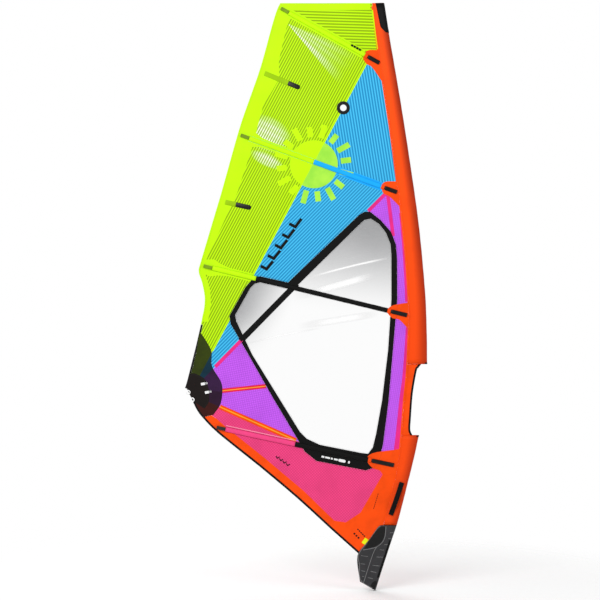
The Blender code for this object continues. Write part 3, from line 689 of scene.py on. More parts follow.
# Each finish: the slot of its pieces, the function that makes it, its colours and its other values
FINISHES = {
    "lime_head": ("lime_film", scrim_film, "lime", "lime_yarn", (0.03, 1.0), 0.0205),
    # the lime leech film carries the painted highlights
    "lime_leech": ("lime_film", scrim_film, "lime", "lime_yarn", ALONG_SEAM, 0.0170, PAINTED_HIGHLIGHT_PATCHES,
                   PAINTED_HIGHLIGHT_FANS),
    "lime_solid": ("lime_film", plain_film, "lime", 0.4, 0.95),
    "blue_upper": ("blue_film", scrim_film, "blue", "blue_yarn", ALONG_LUFF, 0.0190),
    "blue_centre": ("blue_film", scrim_film, "blue", "blue_yarn", ALONG_DIAGONAL, 0.0175),
    "blue_solid": ("blue_film", plain_film, "blue_solid", 0.4, 0.95),
    "purple": ("purple_film", grid_film, "purple", "purple_yarn"),
    "pink": ("pink_film", grid_film, "pink", "pink_yarn", 0.0140, (0.75, 0.66)),
    "pink_solid": ("pink_film", plain_film, "pink", 0.4, 0.95),
    "pale_pink": ("pink_film", plain_film, (250, 150, 176), 0.5),
    "orange": ("orange_cloth", woven, "orange", 0.55, 0.0012, 0.25),
    "magenta": ("pink_film", woven, "magenta"),
    "red": ("pink_film", woven, "red"),
    "amber": ("orange_cloth", woven, "amber"),
    "yellow": ("lime_film", woven, (232, 240, 24), 0.55),
    "black": ("black_tape", woven, "black", 0.55),
    "webbing": ("webbing", woven, "black", 0.7, 0.0032, 0.8),
    "olive_cloth": ("olive_plastic", woven, (158, 204, 4)),
    "olive": ("olive_plastic", moulded, "olive", 0.4),
    "cap": ("cap_plastic", moulded, "black", 0.35),
    "black_moulding": ("cap_plastic", moulded, (38, 38, 38), 0.42),
    "fairing": ("grey_moulding", moulded, "grey", 0.6, 700.0),
    "fairing_rib": ("grey_moulding", moulded, (112, 112, 113), 0.55, 700.0),
    "pad": ("grey_moulding", moulded, (5, 5, 5), 0.6),
    "rod": ("rod", moulded, (40, 42, 44), 0.3),
    "nylon": ("nylon", moulded, (214, 214, 208), 0.4),
    "grommet": ("steel", moulded, (232, 233, 233), 0.3),
    "steel": ("steel", metal, (205, 207, 210)),
    "white": ("nylon", plain_film, "white", 0.45, 0.97),
    "ink": ("black_tape", plain_film, (12, 12, 12), 0.5),
    "thread_dark": ("black_tape", plain_film, (44, 44, 44), 0.7),
    "thread_lime": ("lime_film", plain_film, (160, 206, 20), 0.6),
    "thread_blue": ("blue_film", plain_film, (40, 150, 212), 0.6),
    "thread_pink": ("pink_film", plain_film, (214, 60, 118), 0.6),
    "thread_orange": ("orange_cloth", plain_film, (214, 66, 6), 0.6),
    "window_film": ("clear_film", clear_film),
    "sleeve_cloth": ("orange_cloth", sleeve_cloth),
    "clew_film": ("dark_patch", clew_film),
    "clew_inner": ("dark_patch", plain_film, (26, 20, 19)),
    "emblem": ("lime_film", emblem_film),
}


# ------------------------------------------------------------------ the operators

class SailStep:
    """What every step of the build shares."""
    bl_options = {"REGISTER", "UNDO"}


def look_at(obj, target):
    """Turn a light or camera to a point."""
    direction = Vector(target) - obj.location
    obj.rotation_euler = direction.to_track_quat("-Z", "Y").to_euler()


SOFTBOXES = (((-3.2, -5.2, 5.0), 3.5, 210), ((4.6, -4.0, 2.6), 2.5, 70), ((-2.5, 5.0, 3.5), 4.0, 160))
CAMERA_PLACE = (-0.567, 1.792)      # x and z of the camera, level with the middle of the view
FLOOR_RADIUS, FLOOR_GAP = 3.2, 0.002
AMBIENT, BACKDROP = 0.66, 1.0       # how bright the world lights the sail, and how bright it looks


class SAIL_OT_stage(SailStep, bpy.types.Operator):
    """Camera, soft studio light and a plain pale floor"""
    bl_idname = "sail.stage"
    bl_label = "Stage"

    def execute(self, context):
        scene = context.scene
        scene.view_settings.view_transform = "Standard"
        build_world(scene)
        low, high = CAD_BOX
        centre = Vector((low[0] + high[0], 0, low[2] + high[2])) / 2
        for place, size, energy in SOFTBOXES:
            data = bpy.data.lights.new("softbox", "AREA")
            data.size, data.energy = size, energy
            lamp = bpy.data.objects.new("softbox", data)
            lamp.location = place
            look_at(lamp, centre)
            scene.collection.objects.link(lamp)
        build_floor(low[2] - FLOOR_GAP, centre)
        view = bpy.data.cameras.new("camera")
        view.sensor_width = 36.0
        view.lens = view.sensor_width * sizes().camera_distance / sizes().view_width
        camera = bpy.data.objects.new("camera", view)
        camera.location = (CAMERA_PLACE[0], -sizes().camera_distance, CAMERA_PLACE[1])
        camera.rotation_euler = (math.pi / 2, 0, 0)
        scene.collection.objects.link(camera)
        scene.camera = camera
        return {"FINISHED"}


def build_world(scene):
    """White backdrop with a softer ambient light."""
    world = bpy.data.worlds.new("studio")
    world.use_nodes = True
    scene.world = world
    tree = world.node_tree
    tree.nodes.clear()
    rays = tree.nodes.new("ShaderNodeLightPath")
    mix, out = tree.nodes.new("ShaderNodeMixShader"), tree.nodes.new("ShaderNodeOutputWorld")
    tree.links.new(rays.outputs["Is Camera Ray"], mix.inputs[0])
    for socket, strength in ((1, AMBIENT), (2, BACKDROP)):
        light = tree.nodes.new("ShaderNodeBackground")
        light.inputs["Color"].default_value = (1, 1, 1, 1)
        light.inputs["Strength"].default_value = strength
        tree.links.new(light.outputs[0], mix.inputs[socket])
    tree.links.new(mix.outputs[0], out.inputs[0])


def build_floor(height, centre):
    """Pale round floor that fades out at its rim."""
    bm = bmesh.new()
    bmesh.ops.create_circle(bm, cap_ends=True, radius=FLOOR_RADIUS, segments=64)
    bmesh.ops.translate(bm, verts=bm.verts[:], vec=(centre.x, 0, height))
    mesh = bpy.data.meshes.new("floor")
    bm.to_mesh(mesh)
    bm.free()
    floor = bpy.data.objects.new("floor", mesh)
    bpy.context.scene.collection.objects.link(floor)
    finish = Finish("floor", 0.9)
    finish.set("Base Color", srgb(246, 246, 246))
    away = (finish.x - centre.x) * (finish.x - centre.x) + finish.y * finish.y
    finish.set("Alpha", away.ramp(9.6, 1.2))
    mesh.materials.append(finish.material)
    return floor


PANELS = {"head_panel": "lime_head", "leech_panel_upper": "lime_leech", "leech_panel_lower": "lime_leech",
          "upper_blue_panel": "blue_upper", "centre_blue_panel": "blue_centre",
          "clew_blue_panel": "blue_centre", "luff_purple_panel": "purple", "clew_purple_panel": "purple",
          "foot_panel": "pink", "tack_panel": "orange"}


class SAIL_OT_panels(SailStep, bpy.types.Operator):
    """Reinforced film panels of the sail, with the slack between the battens"""
    bl_idname = "sail.panels"
    bl_label = "Panels"

    def execute(self, context):
        for node, finish in PANELS.items():
            cloth_of(node, f"{node}_cloth", finish)
        return {"FINISHED"}


class SAIL_OT_window(SailStep, bpy.types.Operator):
    """Clear window with its black frame tape and the tape over the diagonal seam"""
    bl_idname = "sail.window"
    bl_label = "Window"

    def execute(self, context):
        cloth_of("window", "window_film", "window_film")
        cloth_of("window_frame", "window_frame_tape", "black", 0.0020)
        diagonal = band([(-0.984, 1.505), (-0.588, 1.908)], sizes().frame_tape)
        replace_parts(film("diagonal_seam_tape", [diagonal], 0.0006, 0.0006, "black"), "diagonal_tape")
        outer, inner = frame_edges()
        rows = [(offset(outer, -0.005), 0.0011), (offset(inner, 0.005), 0.0011)]
        stitch_rows("window_frame_stitches", rows, "thread_dark")
        return {"FINISHED"}


def frame_edges():
    """Outer and inner edge of the window frame, as closed lines read from its CAD node."""
    bm = front_of("window_frame")
    loops = []
    left = {e for e in bm.edges if e.is_boundary}
    while left:
        edge = left.pop()
        start, here = edge.verts
        line = [start, here]
        while here is not start:
            edge = next(e for e in here.link_edges if e in left)
            left.discard(edge)
            here = edge.other_vert(here)
            line.append(here)
        loops.append([Vector((v.co.x, v.co.z)) for v in line])
    bm.free()
    loops.sort(key=lambda line: min(p.y for p in line) - max(p.y for p in line))
    return [anticlockwise(line) for line in loops]


def anticlockwise(line):
    """The closed line, turned to run anticlockwise."""
    twice_area = sum(a.x * b.y - b.x * a.y for a, b in zip(line, line[1:]))
    return line[::-1] if twice_area < 0 else line


def walk(line, pitch):
    """Points and directions at even steps along a line."""
    out, carry = [], pitch / 2
    for a, b in zip(line, line[1:]):
        span = (b - a).length
        while carry < span:
            out.append((a.lerp(b, carry / span), (b - a) / span))
            carry += pitch
        carry -= span
    return out


def add_stitch(bm, centre, u, v, size):
    """One stitch: a small block turned to its thread and to the way out of the cloth."""
    basis = Matrix((u * size[0], v * size[1], u.cross(v) * size[2])).transposed().to_4x4()
    bmesh.ops.create_cube(bm, size=1.0, matrix=Matrix.Translation(centre) @ basis)


def stitch_rows(name, rows, finish, sides=BOTH, surface=relief):
    """Rows of short stitches: each row is a line and its height over the sail plane."""
    stitch = sizes().stitch
    bm = bmesh.new()
    for line, level in rows:
        for point, along in walk([Vector(p) for p in line], stitch * 1.6):
            for side in sides:
                centre = Vector((point.x, surface(point.x, point.y) + side * level, point.y))
                add_stitch(bm, centre, Vector((along.x, 0, along.y)), Vector((0, 1, 0)),
                           (stitch, 0.0005, 0.0009))
    bmesh.ops.recalc_face_normals(bm, faces=bm.faces[:])
    to_piece(bm, name, finish, smooth=False)


# Bands under the upper three pockets: distance from the leech and half width, 0 for the plain one
POCKET_FLARES = (((0.0, 0), (0.66, 0)),
                 ((0.0, 0.105), (0.035, 0.080), (0.085, 0.055), (0.150, 0.033), (0.230, 0), (0.545, 0)),
                 ((0.0, 0.045), (0.060, 0.062), (0.110, 0.042), (0.180, 0), (0.350, 0)))


class SAIL_OT_reinforcements(SailStep, bpy.types.Operator):
    """Solid borders of the leech and the bands under the batten pockets"""
    bl_idname = "sail.reinforcements"
    bl_label = "Leech border and pocket bands"

    def execute(self, context):
        edge = [p for p in curve(LEECH) if p.y > 1.622]
        inner = [(-1.212, 1.640), (-1.190, 1.760), (-1.196, 1.860), (-1.226, 1.960), (-1.222, 2.075),
                 (-1.007, 2.541), (-0.896, 2.877), (-0.850, 3.060), (-0.826, 3.150), (-0.757, 3.265),
                 (-0.712, 3.345), (-0.716, 3.465), (-0.664, 3.690), (-0.632, 3.775), (-0.640, 3.868)]
        film("leech_border", [edge + inner], 0.0004, 0.0003, "lime_solid")
        half = sizes().pocket
        lime = []
        for (leech, luff), (*flare, (reach, _)) in zip(BATTENS, POCKET_FLARES):
            edge_points = [(s, t or half / 2) for s, t in flare] + [(reach, half / 2)]
            lime.append(local(leech, luff, edge_points + [(s, -t) for s, t in reversed(edge_points)]))
        reach, end = POCKET_FLARES[1][-1][0], math.dist(*BATTENS[1]) - 0.08
        blue = rectangle(BATTENS[1], reach, end - reach, -half / 2, half / 2)
        film("lime_pocket_bands", lime, 0.0008, 0.0002, "lime_solid", cell=0.08)
        film("blue_pocket_band", [blue], 0.0008, 0.0002, "blue_solid", cell=0.08)
        head = [band([(-0.690, 3.8450), (-0.075, 3.8450)], 0.046),
                band([(-0.064, 3.822), (-0.064, 3.800), (-0.026, 3.548)], 0.054, 0.027)]
        film("head_borders", head, 0.0011, 0.0002, "lime_solid")
        stitch_rows("leech_stitches", [(offset(edge, s), 0.0009) for s in (0.006, 0.012)], "thread_lime")
        return {"FINISHED"}


class SAIL_OT_seam_tapes(SailStep, bpy.types.Operator):
    """Coloured tapes over the seams of the purple and pink panels"""
    bl_idname = "sail.seam_tapes"
    bl_label = "Seam tapes"

    def execute(self, context):
        wide = sizes().seam_tape
        magenta = [band([(-0.970, 1.519), (-1.160, 1.325)], wide),
                   band([(-0.090, 2.415), (0.052, 2.557)], wide),
                   band([(0.046, 2.540), (0.085, 2.240)], wide),
                   luff_strip(2.400, 1.780, 0.014, 0.024), luff_strip(1.600, 0.745, 0.020, 0.042)]
        middle = [(-1.115, 1.156), (-0.806, 1.189)]
        lower = [(-1.128, 1.044), (-0.596, 0.8085)]
        film("magenta_seam_tapes", magenta, 0.0006, 0.0003, "magenta")
        film("red_seam_tape", [band(middle, 0.030)], 0.0006, 0.0003, "red")
        film("orange_seam_tape", [band(lower, 0.034)], 0.0006, 0.0003, "orange")
        film("seam_cores", [band(middle, 0.006), band(lower, 0.008)], 0.0010, 0.0002, "amber")
        pocket_line, diagonal_line = ((-1.085, 0.913), (-0.600, 0.8086)), ((-1.160, 1.325), (-0.965, 1.524))
        film("pocket_seam_line", [band(pocket_line, 0.006)], 0.0009, 0.0003, "pale_pink")
        film("lime_blue_seam_tape", [band(LIME_BLUE, 0.006)], 0.00035, 0.0002, "lime_solid")
        film("foot_seam_tape", [band(FOOT_SEAM, 0.007)], 0.00035, 0.0002, "orange")
        film("diagonal_seam_line", [band(diagonal_line, 0.006)], 0.0004, 0.0002, "magenta", (BACK,))
        for name, line, reach, thread in (("lower_seam_stitches", lower, 0.014, "thread_orange"),
                                          ("middle_seam_stitches", middle, 0.012, "thread_pink")):
            stitch_rows(name, [(offset(line, side), 0.0010) for side in (reach, -reach)], thread)
        return {"FINISHED"}


FOOT_SEAM = [(0.0210, 0.6400), (0.0210, 0.5810), (-0.1410, 0.3020), (-0.2460, 0.2320), (-0.3280, 0.2440),
             (-0.5450, 0.4550), (-0.8110, 0.6790), (-1.0910, 0.9030), (-1.1600, 0.9650)]


def luff_strip(high, low, top_width, low_width):
    """Strip along the sleeve seam between two heights, wider at its foot."""
    heights = [high + (low - high) * k / 20 for k in range(21)]
    seam = [Vector((x_at(SEAM_LINE, z), z)) for z in heights]
    inner = [p - Vector((top_width + (low_width - top_width) * k / 20, 0)) for k, p in enumerate(seam)]
    return seam + inner[::-1]


LUFF_PATCHES = [
    [(-0.020, 3.542), (-0.095, 3.538), (-0.126, 3.492), (-0.102, 3.446), (-0.060, 3.418), (0.018, 3.304)],
    [(0.1125, 2.622), (0.030, 2.619), (0.002, 2.586), (0.018, 2.538), (0.060, 2.515), (0.136, 2.440)],
    [(0.190, 1.775), (0.080, 1.753), (0.042, 1.714), (0.078, 1.667), (0.130, 1.652), (0.1905, 1.588)],
    [(0.132, 0.750), (-0.060, 0.719), (-0.098, 0.669), (-0.058, 0.616), (-0.010, 0.598), (0.026, 0.560),
     (0.098, 0.575)],
]


class SAIL_OT_luff_patches(SailStep, bpy.types.Operator):
    """Orange patches that carry the batten ends at the sleeve"""
    bl_idname = "sail.luff_patches"
    bl_label = "Luff patches"

    def execute(self, context):
        outlines = [curve(points, 5) for points in LUFF_PATCHES]
        rows = [(offset(outline, 0.006), 0.0014) for outline in outlines]
        film("luff_patches", outlines, 0.0010, 0.0003, "orange")
        stitch_rows("luff_patch_stitches", rows, "thread_orange")
        return {"FINISHED"}


# ------------------------------------------------------------------ mast sleeve

SEAM_HALF = 0.0025
SLEEVE_RADIUS = (0.021, 0.0165)     # at the base and at the head


def sleeve_radius(z):
    """Radius of the sleeve's round front at height z."""
    base, head = SLEEVE_RADIUS
    return base + (head - base) * min(1.0, max(0.0, (z - 0.3) / 3.5))


def sleeve_ring(z, grow=0.0, arc=25):
    """Section of the sleeve: rear seam, straight sides, round front, with slight puckers."""
    front, rear = x_at(LUFF_LINE, z), x_at(SEAM_LINE, z) + 0.0003
    r = sleeve_radius(z)
    centre = front - r
    reach = math.pi / 2 + math.asin((r - SEAM_HALF) / (centre - rear))
    skin = []
    for k in range(arc):
        angle = reach * (2 * k / (arc - 1) - 1)
        pucker = 0.0003 * math.sin(41 * z + 3 * angle) + 0.0002 * math.sin(97 * z - 5 * angle)
        skin.append((centre + (r + grow - pucker) * math.cos(angle), (r + grow - pucker) * math.sin(angle)))
    low, high = Vector((rear, -SEAM_HALF - grow)), Vector((rear, SEAM_HALF + grow))
    ends = [low.lerp(Vector(skin[0]), t) for t in (0.0, 0.3, 0.65)]
    tail = [Vector(skin[-1]).lerp(high, t) for t in (0.35, 0.7, 1.0)]
    return [Vector((p[0], p[1], z)) for p in ends + skin + tail]


class SAIL_OT_sleeve(SailStep, bpy.types.Operator):
    """Orange mast sleeve above and below the boom cutout, with its bound edges"""
    bl_idname = "sail.sleeve"
    bl_label = "Mast sleeve"

    def execute(self, context):
        self.tube("sleeve_above_boom", 1.3436, 3.870, 64, ("sleeve_middle", "sleeve_upper", "sleeve_head"))
        self.tube("sleeve_below_boom", 0.2180, 0.8455, 20, ("sleeve_lower",))
        cloth_of("sleeve_waist", "sleeve_behind_boom", "orange", 0.0024)
        for name, low, high in (("upper_mouth_binding", 1.3440, 1.3540),
                                ("lower_mouth_binding", 0.8355, 0.8455)):
            bm = bmesh.new()
            loft(bm, [sleeve_ring(level, 0.0012)[5:-5] for level in (low, high)], closed=False)
            wall(to_piece(bm, name, "black"), 0.0008, even=True)
        binding = band(curve(CUTOUT, 6), 0.014, -0.007)
        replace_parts(film("boom_cutout_binding", [binding], -0.0019, 0.0038, "black", (FRONT,), grid=False),
                    "cutout_binding")
        heights = [0.24 + 3.61 * k / 120 for k in range(121)]
        seam = [Vector((x_at(SEAM_LINE, z), z)) for z in heights]
        film("sleeve_seam_tape", [band(seam, 0.0080, 0.0040)], 0.0009, 0.0003, "orange")
        stitch_rows("sleeve_seam_stitches", [(offset(seam, -0.005), 0.0038), (offset(seam, -0.010), 0.0046)],
                    "thread_orange", surface=flat_at)
        return {"FINISHED"}

    def tube(self, name, low, high, spans, nodes):
        """One open run of the sleeve."""
        bm = bmesh.new()
        loft(bm, [sleeve_ring(low + (high - low) * k / spans) for k in range(spans + 1)])
        # front runs from 0 at the seam to 1 at the luff; the sleeve cloth paints shade from it
        front = bm.verts.layers.float.new("front")
        for v in bm.verts:
            luff, seam = x_at(LUFF_LINE, v.co.z), x_at(SEAM_LINE, v.co.z)
            v[front] = (v.co.x - seam) / (luff - seam)
        piece = to_piece(bm, name, "sleeve_cloth")
        wall(piece, 0.0011, even=True)
        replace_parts(piece, *nodes)


# ------------------------------------------------------------------ battens and their fittings

CAP_LENGTHS = (0.102, 0.103, 0.127, 0.171)
CAP_CLEAR = 0.018
CAP_SHIFT = 0.017                   # the cap's nose stands this far inside the orange patch
POCKET_START = 0.0636               # the pocket begins this far from the leech, past the housing


def spot(start, u, v, along, across, out):
    """Point of a fitting: along and across its line, and out of the face of the sail."""
    p = Vector(start) + u * along + v * across
    return Vector((p.x, -out, p.y))


def arch(line, along, half, base, top, power=0.75, steps=12):
    """Points of an arch across a line of the sail plane, from one side of it to the other."""
    u, v = axes(*line)
    turns = [math.pi * k / steps for k in range(steps + 1)]
    return [spot(line[0], u, v, along, half * math.cos(t), base + (top - base) * math.sin(t) ** power)
            for t in turns]


def arched(bm, line, stations, steps=12):
    """Skin along a line: each station gives distance, half width, height and base level."""
    loft(bm, [arch(line, along, half, base, top, steps=steps) for along, half, top, base in stations],
         closed=False)


def ends_closed(bm):
    """Close open ends and the underside."""
    bmesh.ops.holes_fill(bm, edges=[e for e in bm.edges if e.is_boundary])
    bmesh.ops.recalc_face_normals(bm, faces=bm.faces[:])


def bullet(line, first, last, half, top, base=0.0013):
    """Rounded bar that lies on the sail, with a bullet nose at its first end."""
    stations = []
    for k in range(1, 7):
        turn = math.pi / 2 * k / 7
        share = math.sin(turn)
        stations.append((first + half * (1 - math.cos(turn)), half * share,
                         base + (top - base) * share ** 0.6, base))
    stations += [(first + half, half, top, base), (last - 0.003, half, top, base),
                 (last, half * 0.9, top - 0.0012, base)]
    bm = bmesh.new()
    arched(bm, line, stations)
    ends_closed(bm)
    return bm


POCKET_CLOTH = (((0.0, 9.0, "lime_solid"),), ((0.0, 0.545, "lime_solid"), (0.545, 9.0, "blue_solid")),
                ((0.0, 0.377, "lime_solid"), (0.377, 9.0, "black")),
                ((0.0, 0.560, "pink_solid"), (0.560, 9.0, "black")))
POCKET_THREADS = ("thread_lime", "thread_blue", "thread_dark", "thread_dark")


class SAIL_OT_pockets(SailStep, bpy.types.Operator):
    """Batten pockets: cloth tunnels over the battens, with a sewn flange on each side"""
    bl_idname = "sail.pockets"
    bl_label = "Batten pockets"

    def execute(self, context):
        for n, line in enumerate(BATTENS):
            cap = math.dist(*line) - CAP_CLEAR - CAP_LENGTHS[n]
            last = cap + CAP_SHIFT - 0.0006
            runs = [(max(POCKET_START, low), min(cap - 0.0062, high), cloth)
                    for low, high, cloth in POCKET_CLOTH[n]]
            for low, high, cloth in runs + [(cap - 0.006, last, "orange")]:
                steps = max(6, int((high - low) / 0.018))
                stations = []
                for k in range(steps + 1):
                    s = low + (high - low) * k / steps
                    wave = 0.0003 * math.sin(57 * s) + 0.0002 * math.sin(131 * s)
                    stations.append((s, 0.0168 + wave, 0.0130 + wave, 0.0013))
                bm = bmesh.new()
                arched(bm, line, stations, 10)
                piece = to_piece(bm, f"pocket_{n + 1}_{cloth}", cloth)
                wall(piece, 0.0008)
                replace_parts(piece, f"batten_pocket_{n + 1}")
                high - low
            rows = [(local(*line, [(0.064, s), (last, s)]), 0.0013) for s in (-0.0185, 0.0185)]
            stitch_rows(f"pocket_{n + 1}_stitches", rows, POCKET_THREADS[n], (FRONT,))
        return {"FINISHED"}


class SAIL_OT_batten_fittings(SailStep, bpy.types.Operator):
    """Luff caps, tensioner housings and the short leech battens"""
    bl_idname = "sail.batten_fittings"
    bl_label = "Batten fittings"

    def execute(self, context):
        for n, line in enumerate(BATTENS):
            last = math.dist(*line) - CAP_CLEAR
            cap = bullet(line, last - CAP_LENGTHS[n] + CAP_SHIFT, last + 0.008, 0.0150, 0.0125)
            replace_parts(to_piece(cap, f"luff_cap_{n + 1}", "cap"), f"batten_cap_{n + 1}")
            self.housing(n, line, "black_moulding" if n == 3 else "olive")
        for n, line in enumerate(MINI_BATTENS):
            self.short_batten(n, line, (0.66, 0.40)[n] * math.dist(*line))
        for n in range(1, 5):
            paint(f"batten_{n}", "rod")
            paint(f"tension_screw_{n}", "steel")
        return {"FINISHED"}

    @staticmethod
    def housing(n, line, finish):
        """Moulded housing of a tensioner: the bored CAD body stays and gets a lip at each end."""
        paint(f"tensioner_housing_{n + 1}", finish)
        bm = bmesh.new()
        for low in (0.006, 0.052):
            loft(bm, [arch(line, s, 0.0127, 0.0013, 0.0145, 0.45) for s in (low, low + 0.0035)], closed=False)
        wall(to_piece(bm, f"tensioner_lips_{n + 1}", finish), 0.0012)

    @staticmethod
    def short_batten(n, line, split):
        """Short leech batten: olive pocket up to a distance, then a black round end."""
        bm = bmesh.new()
        arched(bm, line, [(0.0015 + (split - 0.0015) * k / 10, 0.0172, 0.0052 + 0.0002 * math.sin(5 * k),
                           0.0012) for k in range(11)])
        ends_closed(bm)
        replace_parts(to_piece(bm, f"short_pocket_{n + 1}", "olive_cloth"), f"mini_pocket_{n + 1}")
        bm = bullet(line[::-1], 0.001, math.dist(*line) - split - 0.001, 0.0165, 0.0050, 0.0011)
        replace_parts(to_piece(bm, f"short_batten_end_{n + 1}", "cap"), f"mini_batten_{n + 1}")


# ------------------------------------------------------------------ clew, bindings and trim

EYELETS = ((-1.350, 1.146), (-1.3215, 1.0934))


class SAIL_OT_bindings(SailStep, bpy.types.Operator):
    """Black bindings along the lower leech and the foot"""
    bl_idname = "sail.bindings"
    bl_label = "Bindings"

    def execute(self, context):
        wide = sizes().binding
        for edge in ("leech", "foot"):
            cloth_of(f"{edge}_binding", f"{edge}_tape", "black", 0.0019, wide)
        foot = curve(FOOT, 5)
        strip = offset(foot, wide + 0.0015) + offset(foot, wide - 0.005)[::-1]
        film("foot_tape_edge", [strip], 0.00095, 0.0002, "black")
        rows = [(offset(side, away), 0.0011) for side in (curve([p for p in LEECH if p[1] < 1.63], 5), foot)
                for away in (0.0105, 0.0035)]
        stitch_rows("binding_stitches", rows, "thread_dark")
        return {"FINISHED"}


CLEW_INNER = [(-1.348, 1.262), (-1.318, 1.279), (-1.285, 1.270), (-1.233, 1.237), (-1.205, 1.165),
              (-1.205, 1.082), (-1.2365, 1.032), (-1.2890, 1.068), (-1.3150, 1.0790), (-1.3600, 1.1760)]
CLEW_OUTER = [(-1.2720, 1.5680), (-1.2540, 1.5510), (-1.1890, 1.4385), (-1.1835, 1.3300),
              (-1.1240, 1.2280), (-1.1100, 1.1620), (-1.1240, 1.0640), (-1.1760, 0.9850)]


class SAIL_OT_clew(SailStep, bpy.types.Operator):
    """Clew patch in two dark layers, with its eyelets, labels and stitching"""
    bl_idname = "sail.clew"
    bl_label = "Clew"

    def execute(self, context):
        cloth_of("clew_patch", "clew_patch_film", "clew_film", 0.0024)
        outer, arc = curve(CLEW_OUTER, 6), curve(CLEW_INNER[:7], 4)
        film("clew_outer_patch", [outer + [Vector(CLEW)]], 0.00115, 0.0002, "clew_film", grid=False)
        self.sewn("clew_outer_stitches", outer, 0.0014, (-0.006,))
        film("clew_inner_patch", [arc + CLEW_INNER[7:]], 0.0013, 0.0005, "clew_inner", grid=False)
        self.sewn("clew_stitches", arc, 0.0017, (-0.006, -0.011))
        profile = [(0.0090, 0.0000), (0.0090, 0.0022), (0.0096, 0.0034), (0.0112, 0.0040), (0.0134, 0.0038),
                   (0.0154, 0.0028), (sizes().flange, 0.0018), (0.0160, 0.0012)]
        profile += [(r, -y) for r, y in profile[:0:-1]]
        for k, end in enumerate(("upper", "lower")):
            lathe(f"grommet_{k + 1}", "grommet", EYELETS[k], profile, 40, f"clew_eyelet_{end}")
        labels = []
        for x, z in ((-1.2400, 1.2020), (-1.2120, 1.1430)):
            line = (x - 0.020, z), (x + 0.020, z + 0.008)
            labels.append(rectangle(line, 0, 0.028, -0.009, 0.009))
            labels += [rectangle(line, s, 0.004, -0.007, 0.007) for s in (0.033, 0.041)]
        film("clew_labels", labels, 0.0021, 0.0002, "white", (FRONT,), grid=False)
        return {"FINISHED"}

    @staticmethod
    def sewn(name, line, level, shifts):
        """Rows of dark stitches beside the edge of a patch."""
        stitch_rows(name, [(offset(line, shift), level) for shift in shifts], "thread_dark",
                    surface=flat_at)


SUN, SUN_RADIUS, SUN_RAYS = Vector((-0.470, 2.742)), 0.168, 16
# Rows of angle bars: name, level, grid, width, count, first corner, step to the next, the bar's arms
BAR_PRINTS = (("bar_print", 0.0013, 0.03, 0.020, 5, (-0.842, 2.030), (0.050, 0.074),
               ((0.042, -0.022), (0.086, 0.034))),
              ("small_bar_print", 0.0007, CELL, 0.007, 4, (-0.735, 0.700), (0.024, -0.017),
               ((0.009, -0.016), (0.026, -0.006))))
BLOCK_LINE = (-0.2110, 3.5730), (-0.1410, 3.5345)
DASH_LINE = (-0.416, 0.697), (-0.205, 0.652)
TAB_LINE = (-0.124, 0.086), (-0.099, 0.122)
# Rows of small marks on the tack: line, count, pitch, width and half height
TACK_MARKS = ((((-0.165, 0.190), (-0.105, 0.128)), 5, 0.0160, 0.011, 0.004),
              (((-0.190, 0.160), (-0.130, 0.100)), 3, 0.0200, 0.012, 0.006),
              (((-0.052, 0.330), (-0.018, 0.442)), 8, 0.0145, 0.010, 0.002))


